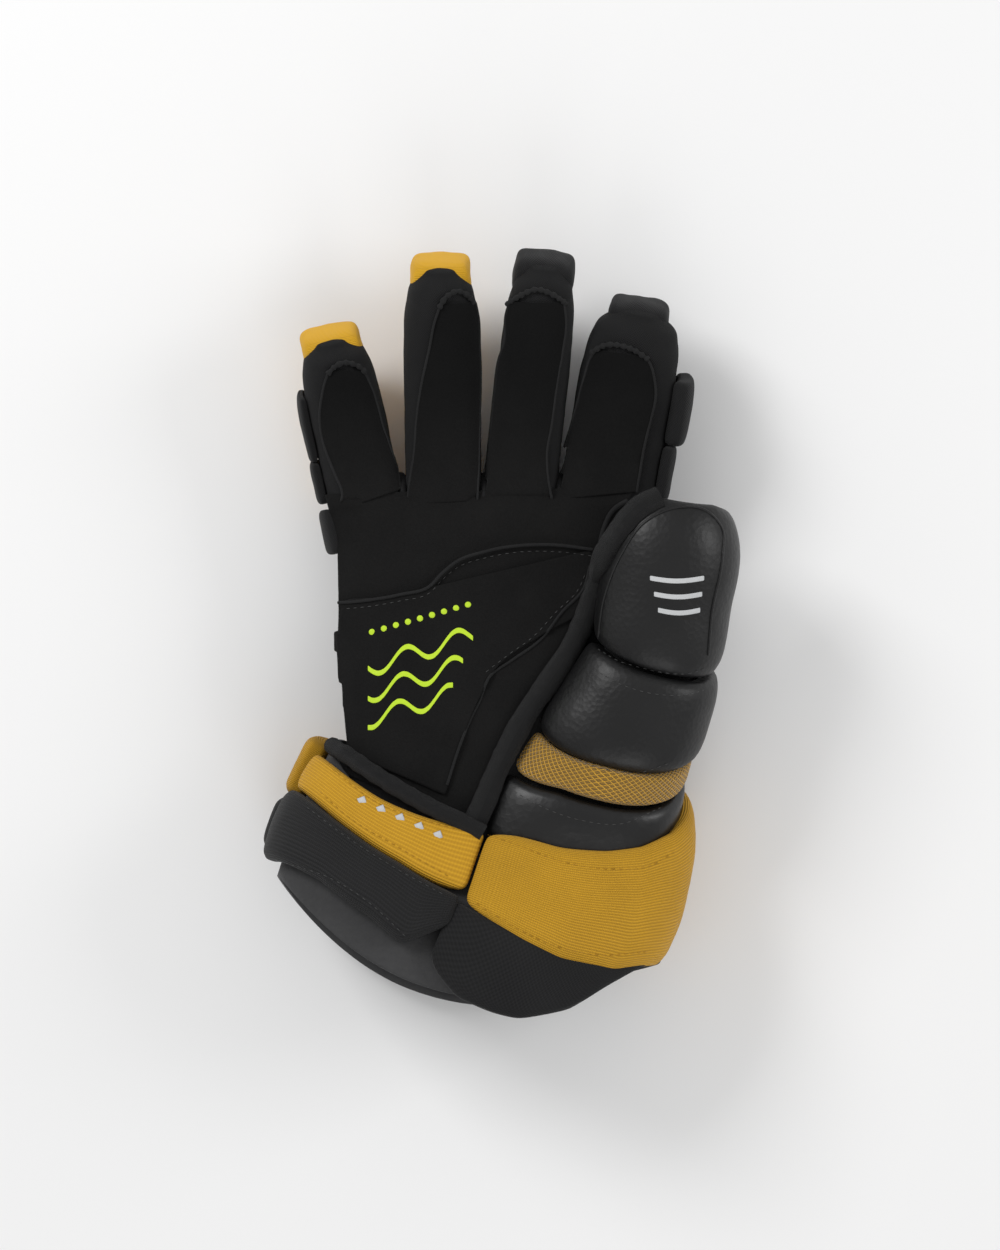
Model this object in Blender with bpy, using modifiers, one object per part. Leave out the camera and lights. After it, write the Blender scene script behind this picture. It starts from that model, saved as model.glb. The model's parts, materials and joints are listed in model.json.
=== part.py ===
"""A right-hand ice hockey glove, lying on its back with the palm up.

The hand, the cuff, the thumb and each finger is a soft tube with a thin wall. A tube is a short
table of rounded sections, and every pad, roll and leather panel lies on one of the tubes at a
given turn around it and share along it, so it follows the tube when a size changes.
Turns are in degrees: 0 is the thumb side, 90 the palm, 180 the little finger's side, 270 the back.
X runs towards the thumb, Y towards the fingertips and Z from the back of the hand to the palm.
"""

import math
from collections import namedtuple

import bmesh
import bpy
import numpy as np
from mathutils import Matrix, Vector

for thing in list(bpy.data.objects):
    bpy.data.objects.remove(thing)

MM = 0.001

# Driving sizes of the hand
HAND_LENGTH = 139 * MM
PALM_DEPTH = 42 * MM
KNUCKLE_DEPTH = 33 * MM
FINGER_GAP = 0.7 * MM
WRIST_TURN = 22.0  # degrees that the cuff leans towards the little finger

# Driving sizes of the thumb
THUMB_LENGTH = HAND_LENGTH + 21 * MM
THUMB_WIDTH = 54 * MM
THUMB_DEPTH = 42 * MM
THUMB_LEAN = 15.0  # degrees away from the fingers
THUMB_RISE = 8.0  # degrees up from the palm
THUMB_BASE_ACROSS = 37.5 * MM  # from the knuckles' middle
THUMB_BASE_DROP = 17 * MM  # past the wrist
THUMB_BASE_HEIGHT = 24 * MM  # above the lowest line of the hand

# Driving sizes of the cuff
CUFF_WIDTH = 160 * MM
CUFF_DEPTH = 68.5 * MM
CUFF_LENGTH = 81 * MM
CUFF_DROP = 5 * MM  # how far its tube reaches below the hand's
CUFF_THUMB_EDGE = 100 * MM  # from the wrist's middle to the cuff's edge at the thumb's side
CUFF_SHIFT = CUFF_THUMB_EDGE - CUFF_WIDTH / 2
CUFF_TUCK = 14 * MM  # how far the middle of its top edge reaches past the wrist

# Walls, pads and clearances
FABRIC_WALL = 1.8 * MM
LINER_WALL = 2.0 * MM
LEATHER = 1.3 * MM
SEAT = 0.35 * MM  # clearance between a piece and what carries it
SINK = 2 * MM  # how deep a pad's solid starts inside its tube before the tube cuts it
BACK_ROLL = 18 * MM
FINGER_ROLL = 15 * MM
SIDE_PAD = 8 * MM
TIP_CAP = 12 * MM
TIP_CAP_WIDTH = 27 * MM
TIP_CAP_HEIGHT = 0.75  # share of KNUCKLE_DEPTH
TIP_CAP_TUCK = 8 * MM  # how far it reaches around the fingertip
CUFF_PAD = 11 * MM
CUFF_BAND = 8 * MM
CUFF_BACK_PAD = 13 * MM
THUMB_PAD = 12 * MM
WRIST_ROLL = 4 * MM
REST_LEVEL = 1.5 * MM - BACK_ROLL  # the cloth under the glove is pressed flat at this height

# Each finger: fabric reach past the knuckles, width, splay in degrees, and the curl's rise
Finger = namedtuple("Finger", "name reach width splay rise roll_colour patch_from patch_to")
FINGERS = [
    Finger("little", 76 * MM, 35 * MM, -12.0, 17 * MM, "gold", 28, 122),
    Finger("ring", 107 * MM, 35.5 * MM, -0.8, 24 * MM, "gold", 30, 126),
    Finger("middle", 109 * MM, 33 * MM, 6.0, 24 * MM, "black", 38, 134),
    Finger("index", 89 * MM, 45 * MM, 10.0, 18 * MM, "black", 46, 144),
]

# Colour, roughness
FINISHES = {
    "black": ((0.012, 0.012, 0.013, 1), 0.55),
    "suede": ((0.009, 0.009, 0.010, 1), 0.92),
    "gold": ((0.72, 0.42, 0.03, 1), 0.6),
    "mesh_gold": ((0.50, 0.30, 0.02, 1), 0.7),
    "grey": ((0.045, 0.045, 0.047, 1), 0.8),
}

GLOVE = bpy.data.collections.new("ice_hockey_glove")
CUTTERS = bpy.data.collections.new("cutters")
for collection in (GLOVE, CUTTERS):
    bpy.context.scene.collection.children.link(collection)


def finish(name):
    """The material of that name, made the first time that it is asked for."""
    found = bpy.data.materials.get(name)
    if found:
        return found
    made = bpy.data.materials.new(name)
    made.use_nodes = True
    colour, roughness = FINISHES[name]
    shader = made.node_tree.nodes["Principled BSDF"]
    shader.inputs["Base Color"].default_value = colour
    shader.inputs["Roughness"].default_value = roughness
    shader.inputs["Metallic"].default_value = 0.0
    return made


Section = namedtuple(
    "Section", "along x y z across pitch half_width half_height square lean bow"
)


def power(value, exponent):
    return math.copysign(abs(value) ** exponent, value)


class Tube:
    """A soft tube through rounded sections, read smoothly at any share along it."""

    def __init__(self, sections):
        self.keys = np.array([section.along for section in sections])
        self.values = np.array([section[1:] for section in sections])
        self.slopes = np.gradient(self.values, self.keys, axis=0)

    def read(self, along):
        """The section's numbers at a share along, by cubic curves between the rows."""
        i = int(np.clip(np.searchsorted(self.keys, along) - 1, 0, len(self.keys) - 2))
        step = self.keys[i + 1] - self.keys[i]
        t = (along - self.keys[i]) / step
        return (
            self.values[i] * (1 - t) ** 2 * (1 + 2 * t)
            + self.values[i + 1] * t**2 * (3 - 2 * t)
            + self.slopes[i] * step * t * (1 - t) ** 2
            - self.slopes[i + 1] * step * t**2 * (1 - t)
        )

    def frame(self, along):
        """Centre, across, forward and up of the section."""
        x, y, z, across_deg, pitch_deg = self.read(along)[:5]
        turn, pitch = math.radians(across_deg), math.radians(pitch_deg)
        across = Vector((math.cos(turn), math.sin(turn), 0))
        level = Vector((-math.sin(turn), math.cos(turn), 0))
        forward = level * math.cos(pitch) + Vector((0, 0, math.sin(pitch)))
        up = Vector((0, 0, math.cos(pitch))) - level * math.sin(pitch)
        return Vector((x, y, z)), across, forward, up

    def point(self, turn, along):
        centre, across, forward, up = self.frame(along)
        half_width, half_height, square, lean, bow = self.read(along)[5:]
        side = power(math.cos(math.radians(turn)), 2 / square)
        rise = power(math.sin(math.radians(turn)), 2 / square)
        ahead = lean * rise + bow * side**2
        return centre + across * half_width * side + up * half_height * rise + forward * ahead

    def outward(self, turn, along):
        """The unit normal of the surface, pointing out of the tube."""
        low, high = max(along - 0.01, 0), min(along + 0.01, 1)
        ahead = self.point(turn, high) - self.point(turn, low)
        around = self.point(turn + 2, along) - self.point(turn - 2, along)
        return ahead.cross(around).normalized()

    def grown(self, turn, along, grow):
        return self.point(turn, along) + self.outward(turn, along) * grow


def add_object(name, mesh_data, colour=None, collection=GLOVE):
    made = bpy.data.objects.new(name, mesh_data)
    collection.objects.link(made)
    if colour:
        mesh_data.materials.append(finish(colour))
    else:
        made.hide_render = True
        made.display_type = "WIRE"
    return made


def mesh_of(name, points, faces):
    made = bpy.data.meshes.new(name)
    made.from_pydata([tuple(point) for point in points], [], faces)
    made.shade_smooth()
    made.set_sharp_from_angle(angle=math.radians(50))
    return made


def ring_faces(rings, around):
    """Quads between rings that follow each other, facing out."""
    faces = []
    for j in range(rings - 1):
        for i in range(around):
            k = (i + 1) % around
            faces.append(
                (j * around + i, (j + 1) * around + i, (j + 1) * around + k, j * around + k)
            )
    return faces


def tube_points(tube, around, alongs, grow=0.0):
    return [
        tube.grown(360 * i / around, along, grow) if grow else tube.point(360 * i / around, along)
        for along in alongs
        for i in range(around)
    ]


def close_end(points, faces, first, around, far):
    """A fan of triangles over the ring that starts at point number first."""
    points.append(sum(points[first : first + around], Vector()) / around)
    for i in range(around):
        pair = (first + i, first + (i + 1) % around)
        faces.append((len(points) - 1, *(reversed(pair) if far else pair)))


def skin(name, tube, around, alongs, wall, colour, near_end=False, far_end=False):
    """A thin-walled tube, open at both ends unless an end is closed."""
    faces = ring_faces(len(alongs), around)
    points = tube_points(tube, around, alongs)
    if near_end:
        close_end(points, faces, 0, around, False)
    if far_end:
        close_end(points, faces, (len(alongs) - 1) * around, around, True)
    made = add_object(name, mesh_of(name, points, faces), colour)
    shell = made.modifiers.new("wall", "SOLIDIFY")
    shell.thickness = wall
    shell.offset = -1
    return made


def cutter(name, tube, around, alongs, grow):
    """The tube as one closed solid, grown or shrunk, for cutting other pieces."""
    faces = ring_faces(len(alongs), around)
    points = tube_points(tube, around, alongs, grow)
    close_end(points, faces, 0, around, False)
    close_end(points, faces, (len(alongs) - 1) * around, around, True)
    return add_object(name, mesh_of(name, points, faces), collection=CUTTERS)


def cut(piece, *tools):
    for tool in tools:
        trim = piece.modifiers.new("trim_" + tool.name, "BOOLEAN")
        trim.operation = "DIFFERENCE"
        trim.object = tool
    return piece


def largest_body(piece):
    """Applies the piece's cuts and drops the crumbs that they leave beside its largest body."""
    bpy.context.view_layer.update()
    graph = bpy.context.evaluated_depsgraph_get()
    shape = bmesh.new()
    shape.from_mesh(piece.evaluated_get(graph).to_mesh())
    bodies, seen = [], set()
    for start in shape.faces:
        if start in seen:
            continue
        body, reached = [], [start]
        seen.add(start)
        while reached:
            face = reached.pop()
            body.append(face)
            for other in (other for edge in face.edges for other in edge.link_faces):
                if other not in seen:
                    seen.add(other)
                    reached.append(other)
        bodies.append(body)
    bodies.sort(key=lambda body: sum(face.calc_area() for face in body))
    bmesh.ops.delete(shape, geom=[face for body in bodies[:-1] for face in body], context="FACES")
    piece.modifiers.clear()
    shape.to_mesh(piece.data)
    shape.free()


def shares(cells, border):
    """Grid lines from 0 to 1: one near each border, the rest evenly between them."""
    inner = [border + (1 - 2 * border) * i / (cells - 2) for i in range(cells - 1)]
    return [0.0, *inner, 1.0]


def pad(name, tube, turns, low, high, thick, colour, **form):
    """A pad that lies on a tube between two turns. low and high are its shares along the tube,
    each at the first turn and at the last one. It starts inside the tube, and the tube's own
    solid cuts it to its seat. form: raised, for a layer that lies on another, down to press it
    straight down and not outwards, edge, the rim's share of the thickness, nose, the rounding
    of the far end, dips, how much lower each end's middle is, and cells, the grid across and
    along."""
    start_depth = -SINK
    raised = form.get("raised", 0.0)
    edge = form.get("edge", 0.5)
    nose = form.get("nose", 0.0)
    low_dip, high_dip = form.get("dips", (0.0, 0.0))
    across, ahead = form.get("cells", (5, 4))
    grid_across = shares(across, form.get("border", 0.14))
    grid_ahead = shares(ahead, form.get("border", 0.14))
    points = []
    for layer in (0, 1):
        for v in grid_ahead:
            for u in grid_across:
                turn = turns[0] + (turns[1] - turns[0]) * u
                hump = 4 * u * (1 - u)
                start = low[0] + (low[1] - low[0]) * u - low_dip * hump
                stop = high[0] + (high[1] - high[0]) * u - high_dip * hump - nose * (1 - hump)
                along = start + (stop - start) * v
                rim = u in (0.0, 1.0) or v in (0.0, 1.0)
                lift = raised + SEAT + thick * (edge if rim else 1.0) if layer else start_depth
                if form.get("down"):
                    away = -tube.frame(along)[3]
                else:
                    away = tube.outward(turn, along)
                point = tube.point(turn, along) + away * lift
                point.z = max(point.z, REST_LEVEL)
                points.append(point)
    wide, long = across + 1, ahead + 1
    top = wide * long
    faces = []
    for j in range(ahead):
        for i in range(across):
            a = j * wide + i
            faces.append((a, a + 1, a + wide + 1, a + wide))
            faces.append((top + a, top + a + wide, top + a + wide + 1, top + a + 1))
    rim = [i for i in range(wide)]
    rim += [j * wide + across for j in range(1, long)]
    rim += [ahead * wide + i for i in reversed(range(across))]
    rim += [j * wide for j in reversed(range(1, ahead))]
    for a, b in zip(rim, rim[1:] + rim[:1]):
        faces.append((a, top + a, top + b, b))
    made = mesh_of(name, points, faces)
    shape = bmesh.new()
    shape.from_mesh(made)
    bmesh.ops.recalc_face_normals(shape, faces=shape.faces)
    shape.to_mesh(made)
    shape.free()
    return add_object(name, made, colour)


# The hand tube, from the wrist to the knuckles. middle and half_width are shares of the knuckles'
# width, y and lean of HAND_LENGTH, and depth_mix runs from KNUCKLE_DEPTH to PALM_DEPTH.
KNUCKLE_WIDTH = sum(finger.width for finger in FINGERS) + FINGER_GAP * (len(FINGERS) - 1)
HandRow = namedtuple("HandRow", "along middle half_width y depth_mix square turn_share lean")
HAND_ROWS = [
    HandRow(0.00, -0.125, 0.335, -1.120, 1.00, 2.8, 1.0, -0.043),
    HandRow(0.15, -0.092, 0.362, -0.850, 1.00, 3.0, 0.8, -0.030),
    HandRow(0.31, -0.062, 0.393, -0.694, 0.95, 3.1, 0.4, -0.010),
    HandRow(0.54, -0.037, 0.435, -0.463, 0.70, 3.3, 0.0, 0.0),
    HandRow(0.80, 0.000, 0.466, -0.197, 0.30, 3.6, 0.0, 0.0),
    HandRow(1.00, 0.000, 0.500, 0.000, 0.00, 3.8, 0.0, 0.0),
]


def hand_tube():
    sections = []
    for row in HAND_ROWS:
        depth = KNUCKLE_DEPTH + (PALM_DEPTH - KNUCKLE_DEPTH) * row.depth_mix
        sections.append(
            Section(
                row.along,
                row.middle * KNUCKLE_WIDTH,
                row.y * HAND_LENGTH,
                depth / 2,
                -WRIST_TURN * row.turn_share,
                0,
                row.half_width * KNUCKLE_WIDTH,
                depth / 2,
                row.square,
                row.lean * HAND_LENGTH,
                0,
            )
        )
    return Tube(sections)


# A finger's sections: share of the reach, of the splay, of half the width and of half the depth
FingerRow = namedtuple("FingerRow", "along splay half_width half_height square")
FINGER_ROWS = [
    FingerRow(0.00, 0.00, 1.00, 1.00, 3.8),
    FingerRow(0.15, 0.60, 0.99, 1.00, 3.4),
    FingerRow(0.40, 1.00, 1.00, 0.98, 3.0),
    FingerRow(0.72, 1.00, 0.98, 0.95, 2.8),
    FingerRow(0.88, 1.00, 0.89, 0.86, 2.6),
    FingerRow(0.96, 1.00, 0.72, 0.68, 2.4),
    FingerRow(1.00, 1.00, 0.44, 0.42, 2.2),
]


def finger_tube(finger, base_x):
    splay = math.radians(finger.splay)
    sections = []
    for row in FINGER_ROWS:
        out = finger.reach * row.along
        height = KNUCKLE_DEPTH / 2 + finger.rise * row.along**2
        pitch = math.degrees(math.atan(2 * finger.rise * row.along / finger.reach))
        sections.append(
            Section(
                row.along,
                base_x + out * math.sin(splay),
                SEAT + out * math.cos(splay),
                height,
                -finger.splay * row.splay,
                pitch,
                finger.width / 2 * row.half_width,
                KNUCKLE_DEPTH / 2 * row.half_height,
                row.square,
                0,
                0,
            )
        )
    return Tube(sections)


# The thumb's sections: shares of its length, of half its width and of half its depth
ThumbRow = namedtuple("ThumbRow", "along drift half_width half_height square lean")
THUMB_ROWS = [
    ThumbRow(0.00, -0.030, 1.34, 0.80, 2.6, -0.110),
    ThumbRow(0.15, -0.005, 1.26, 0.90, 2.6, -0.100),
    ThumbRow(0.36, 0.045, 1.00, 0.98, 2.5, -0.060),
    ThumbRow(0.55, 0.080, 0.80, 0.92, 2.4, -0.030),
    ThumbRow(0.74, 0.065, 0.74, 0.86, 2.3, -0.015),
    ThumbRow(0.92, 0.045, 0.62, 0.70, 2.2, 0.0),
    ThumbRow(1.00, 0.035, 0.30, 0.36, 2.1, 0.0),
]


def thumb_tube():
    lean, rise = math.radians(THUMB_LEAN), math.radians(THUMB_RISE)
    base_x = THUMB_BASE_ACROSS
    base_y = -HAND_LENGTH - THUMB_BASE_DROP
    sections = []
    for row in THUMB_ROWS:
        out = THUMB_LENGTH * row.along
        sections.append(
            Section(
                row.along,
                base_x + out * math.sin(lean) + THUMB_LENGTH * row.drift,
                base_y + out * math.cos(lean),
                THUMB_BASE_HEIGHT + out * math.sin(rise),
                -THUMB_LEAN,
                THUMB_RISE,
                THUMB_WIDTH / 2 * row.half_width,
                THUMB_DEPTH / 2 * row.half_height,
                row.square,
                row.lean * THUMB_LENGTH,
                0,
            )
        )
    return Tube(sections)


# The cuff's sections, from its rim to its top edge: shares of CUFF_WIDTH, CUFF_DEPTH, CUFF_LENGTH
# and WRIST_TURN. bow is how far its two sides lie ahead of its middle.
CuffRow = namedtuple("CuffRow", "along shift half_width depth turn lean bow")
CUFF_ROWS = [
    CuffRow(0.00, 0.001, 0.530, 1.00, 0.68, 0.050, 0.42),
    CuffRow(0.35, 0.002, 0.537, 0.95, 0.58, 0.000, 0.41),
    CuffRow(0.65, -0.005, 0.525, 0.86, 0.48, -0.060, 0.38),
    CuffRow(1.00, -0.025, 0.489, 0.76, 0.36, -0.140, 0.34),
]
CUFF_SQUARE = 2.7


def cuff_tube(hand):
    wrist, across, forward, _ = hand.frame(0)
    bottom = -CUFF_DROP
    sections = []
    for row in CUFF_ROWS:
        back_off = CUFF_LENGTH * (1 - row.along) - CUFF_TUCK
        middle = wrist + across * (CUFF_SHIFT + row.shift * CUFF_WIDTH) - forward * back_off
        depth = CUFF_DEPTH * row.depth
        sections.append(
            Section(
                row.along,
                middle.x,
                middle.y,
                bottom + depth / 2,
                -WRIST_TURN * row.turn,
                0,
                row.half_width * CUFF_WIDTH,
                depth / 2,
                CUFF_SQUARE,
                row.lean * CUFF_LENGTH,
                row.bow * CUFF_LENGTH,
            )
        )
    return Tube(sections)


def finger_tubes():
    """A tube for each finger, side by side across the knuckles."""
    tubes = {}
    left = -KNUCKLE_WIDTH / 2
    for finger in FINGERS:
        tubes[finger.name] = finger_tube(finger, left + finger.width / 2)
        left += finger.width + FINGER_GAP
    return tubes


HAND = hand_tube()
THUMB = thumb_tube()
CUFF = cuff_tube(HAND)
FINGER_TUBES = finger_tubes()

# Section shares at which each skin has a ring
HAND_RINGS = [0.0, 0.15, 0.31, 0.5, 0.7, 0.86, 1.0]
THUMB_RINGS = [0.07, 0.2, 0.36, 0.55, 0.74, 0.88, 0.96, 1.0]
CUFF_RINGS = [0.0, 0.2, 0.4, 0.6, 0.8, 1.0]
FINGER_RINGS = [0.0, 0.22, 0.45, 0.68, 0.86, 0.955, 1.0]


# Solids that cut a piece to its seat on another one
THUMB_ROOM = cutter("thumb_room", THUMB, 18, THUMB_RINGS, -FABRIC_WALL - SEAT)
THUMB_SEAT = cutter("thumb_seat", THUMB, 18, THUMB_RINGS, SEAT)
HAND_SEAT = cutter("hand_seat", HAND, 28, HAND_RINGS, SEAT)
PALM_SEAT = cutter("palm_seat", HAND, 28, HAND_RINGS, LEATHER + 3 * SEAT)
GUARD_ROOM = cutter("guard_room", HAND, 28, HAND_RINGS, 2 * LEATHER + 4 * SEAT)
CUFF_SEAT = cutter("cuff_seat", CUFF, 28, CUFF_RINGS, SEAT)
WRAP_ROOM = cutter("wrap_room", CUFF, 28, [*CUFF_RINGS, 1.01], CUFF_BAND + 3 * SEAT)
FINGER_SEATS = {
    finger.name: cutter("seat_" + finger.name, FINGER_TUBES[finger.name], 16, FINGER_RINGS, SEAT)
    for finger in FINGERS
}


def hand_and_thumb():
    """The hand's and the thumb's fabric, each cut where the other passes through it."""
    hand = skin("hand_shell", HAND, 28, HAND_RINGS, FABRIC_WALL, "black")
    thumb = skin("thumb_sleeve", THUMB, 18, THUMB_RINGS, FABRIC_WALL, "black", True, True)
    cut(hand, THUMB_ROOM)
    cut(thumb, HAND_SEAT)


def palm_leather():
    """The palm's leather, the heel's second layer on it, and a panel inside each finger."""
    palm = pad("palm_leather", HAND, (26, 164), (0.07, 0.07), (0.995, 0.995), LEATHER, "suede",
               edge=1.0, cells=(10, 6), border=0.05)
    heel = pad("heel_overlay", HAND, (50, 158), (0.08, 0.09), (0.70, 0.52), LEATHER, "suede",
               raised=LEATHER + 2 * SEAT, edge=1.0, cells=(8, 5), border=0.05)
    cut(palm, HAND_SEAT, THUMB_SEAT)
    cut(heel, PALM_SEAT, THUMB_SEAT)
    for finger in FINGERS:
        panel = pad("finger_panel_" + finger.name, FINGER_TUBES[finger.name],
                    (finger.patch_from, finger.patch_to), (0.005, 0.005), (0.87, 0.87), LEATHER,
                    "suede", edge=1.0, nose=0.1, cells=(5, 6), border=0.06)
        cut(panel, FINGER_SEATS[finger.name])


# A finger's rolls: where each starts and stops along the finger
FINGER_ROLLS = [(0.03, 0.31), (0.335, 0.60), (0.625, 0.875)]


def fingers():
    """Each finger's fabric, its foam rolls along the back, and the cap over its tip."""
    for finger in FINGERS:
        tube = FINGER_TUBES[finger.name]
        skin("finger_" + finger.name, tube, 16, FINGER_RINGS, FABRIC_WALL, "black", far_end=True)
        for number, (start, stop) in enumerate(FINGER_ROLLS, 1):
            roll = pad(f"roll_{finger.name}_{number}", tube, (212, 328), (start, start),
                       (stop, stop), FINGER_ROLL, finger.roll_colour, down=True, edge=0.6)
            cut(roll, FINGER_SEATS[finger.name])
        tip_cap(finger, tube)


def tip_cap(finger, tube):
    """The foam block behind the fingertip, cut out where the fingertip rests in it."""
    centre, across, forward, up = tube.frame(1)
    height = KNUCKLE_DEPTH * TIP_CAP_HEIGHT
    place = centre + forward * (TIP_CAP / 2 - TIP_CAP_TUCK) - up * (height * 0.34)
    bpy.ops.mesh.primitive_cube_add(size=1)
    made = bpy.context.object
    made.name = "tip_cap_" + finger.name
    made.data.name = made.name
    bpy.context.collection.objects.unlink(made)
    GLOVE.objects.link(made)
    made.data.transform(Matrix.Diagonal((TIP_CAP_WIDTH, TIP_CAP, height, 1)))
    made.matrix_world = Matrix.Translation(place) @ Matrix((across, forward, up)).transposed().to_4x4()
    made.data.materials.append(finish(finger.roll_colour))
    rounding = made.modifiers.new("rounding", "BEVEL")
    rounding.width = 2.5 * MM
    rounding.segments = 1
    cut(made, FINGER_SEATS[finger.name])


# The rolls across the back of the hand: shares along it, and the turns between which they lie
BACK_ROLLS = [
    ("back_roll_knuckle", 0.79, 0.985, 204, 336),
    ("back_roll_upper", 0.575, 0.775, 204, 334),
    ("back_roll_middle", 0.36, 0.56, 206, 330),
    ("back_roll_wrist", 0.20, 0.345, 208, 326),
]


def back_rolls():
    for name, start, stop, first, last in BACK_ROLLS:
        roll = pad(name, HAND, (first, last), (start, start), (stop, stop), BACK_ROLL, "black",
                   down=True, edge=0.6, cells=(8, 4))
        cut(roll, HAND_SEAT)


def side_pads():
    """Foam blocks on the outer sides of the index and little fingers."""
    index, little = FINGER_TUBES["index"], FINGER_TUBES["little"]
    index_seat, little_seat = FINGER_SEATS["index"], FINGER_SEATS["little"]
    turns = (-24, 26)
    cut(pad("index_side_pad", index, turns, (0.38, 0.38), (0.70, 0.70), SIDE_PAD, "black"),
        index_seat)
    cut(pad("index_base_pad", index, turns, (0.04, 0.04), (0.34, 0.34), SIDE_PAD * 0.6, "black"),
        index_seat)
    cut(pad("little_side_pad", little, (158, 205), (0.33, 0.33), (0.72, 0.72), SIDE_PAD * 0.4,
            "black"), little_seat)
    cut(pad("little_low_pad", little, (158, 205), (0.04, 0.04), (0.30, 0.30), SIDE_PAD * 0.5,
            "black"), little_seat)
    cut(pad("little_base_pad", HAND, (166, 196), (0.86, 0.86), (0.985, 0.985), SIDE_PAD * 0.6,
            "black"), HAND_SEAT)


# The thumb's pads from its base to its tip: shares along it at the first and the last turn where
# each starts and stops, thickness share, colour, and turns
THUMB_PADS = [
    ("thumb_base_pad", (0.04, 0.04), (0.20, 0.235), 0.80, "black", (150, -60)),
    ("thumb_mesh_band", (0.21, 0.245), (0.295, 0.33), 0.70, "mesh_gold", (148, -62)),
    ("thumb_lower_guard", (0.305, 0.34), (0.56, 0.545), 1.00, "black", (146, -62)),
    ("thumb_tip_guard", (0.575, 0.56), (0.97, 0.97), 1.00, "black", (146, -62)),
]


def thumb_pads():
    """The guards over the thumb's outer face, cut back where they meet the hand and the cuff."""
    for name, start, stop, share, colour, turns in THUMB_PADS:
        guard = pad(name, THUMB, turns, start, stop, THUMB_PAD * share, colour, cells=(9, 4))
        cut(guard, THUMB_SEAT, GUARD_ROOM, WRAP_ROOM)


# Pads around the cuff: turns, low and high shares along it at the first and the last turn,
# thickness, colour, how many cells across, and how far its middle is lower at each end
CUFF_PADS = [
    ("cuff_palm_band", (97, 176), (0.47, 0.60), (0.98, 0.90), CUFF_BAND, "gold", 6, 0, 0),
    ("cuff_palm_pad", (97, 176), (0.04, 0.10), (0.45, 0.58), CUFF_PAD, "black", 6, 0, 0),
    ("cuff_wrap_thumb", (94, -50), (0.34, 0.40), (0.98, 0.99), CUFF_BAND, "gold", 10, 0.14, 0.02),
    ("cuff_wrap_back", (-53, -180), (0.40, 0.55), (0.99, 0.97), CUFF_BACK_PAD, "gold", 9, 0, 0),
    ("cuff_lower_thumb", (94, -50), (0.03, 0.08), (0.32, 0.38), CUFF_PAD, "black", 10, 0.02, 0.14),
    ("cuff_lower_back", (-53, -180), (0.08, 0.16), (0.38, 0.53), CUFF_BACK_PAD, "black", 9, 0, 0),
]


def cuff():
    """The cuff's lining, the pads and bands around it, and the roll where the palm meets it."""
    liner = skin("cuff_liner", CUFF, 28, CUFF_RINGS, LINER_WALL, "grey")
    cut(liner, HAND_SEAT, THUMB_SEAT)
    for name, turns, low, high, thick, colour, cells, low_dip, high_dip in CUFF_PADS:
        cut(pad(name, CUFF, turns, low, high, thick, colour, cells=(cells, 4), dips=(low_dip, high_dip)),
            CUFF_SEAT)


# The roll where the palm meets the cuff: turns around the hand and shares along it
WRIST_LINE = [
    (80, 0.060), (90, 0.068), (104, 0.078), (118, 0.088), (132, 0.098), (148, 0.110), (166, 0.115)
]


def wrist_roll():
    line = bpy.data.curves.new("wrist_roll", "CURVE")
    line.dimensions = "3D"
    line.bevel_depth = WRIST_ROLL
    line.bevel_resolution = 2
    line.use_fill_caps = True
    path = line.splines.new("POLY")
    path.points.add(len(WRIST_LINE) - 1)
    off = WRIST_ROLL + 2 * LEATHER + 5 * SEAT
    for spot, (turn, along) in zip(path.points, WRIST_LINE):
        spot.co = (*HAND.grown(turn, along, off), 1)
    add_object("wrist_roll", line, "black")


def place_on_floor():
    """Moves the glove so that it stands on Z = 0, with the origin under its middle."""
    bpy.context.view_layer.update()
    graph = bpy.context.evaluated_depsgraph_get()
    low, high = Vector((1, 1, 1)), Vector((-1, -1, -1))
    for piece in GLOVE.objects:
        shown = piece.evaluated_get(graph)
        for vertex in shown.to_mesh().vertices:
            corner = shown.matrix_world @ vertex.co
            low = Vector(map(min, low, corner))
            high = Vector(map(max, high, corner))
    middle = (low + high) / 2
    shift = Matrix.Translation((-middle.x, -middle.y, -low.z))
    for piece in [*GLOVE.objects, *CUTTERS.objects]:
        piece.matrix_world = shift @ piece.matrix_world


hand_and_thumb()
palm_leather()
fingers()
back_rolls()
side_pads()
thumb_pads()
cuff()
wrist_roll()
for whole in list(GLOVE.objects):
    if any(change.type == "BOOLEAN" for change in whole.modifiers):
        largest_body(whole)
place_on_floor()
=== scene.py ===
import json
import math
import bmesh
import bpy
import numpy as np
from mathutils import Matrix, Vector, noise
from mathutils.bvhtree import BVHTree

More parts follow.
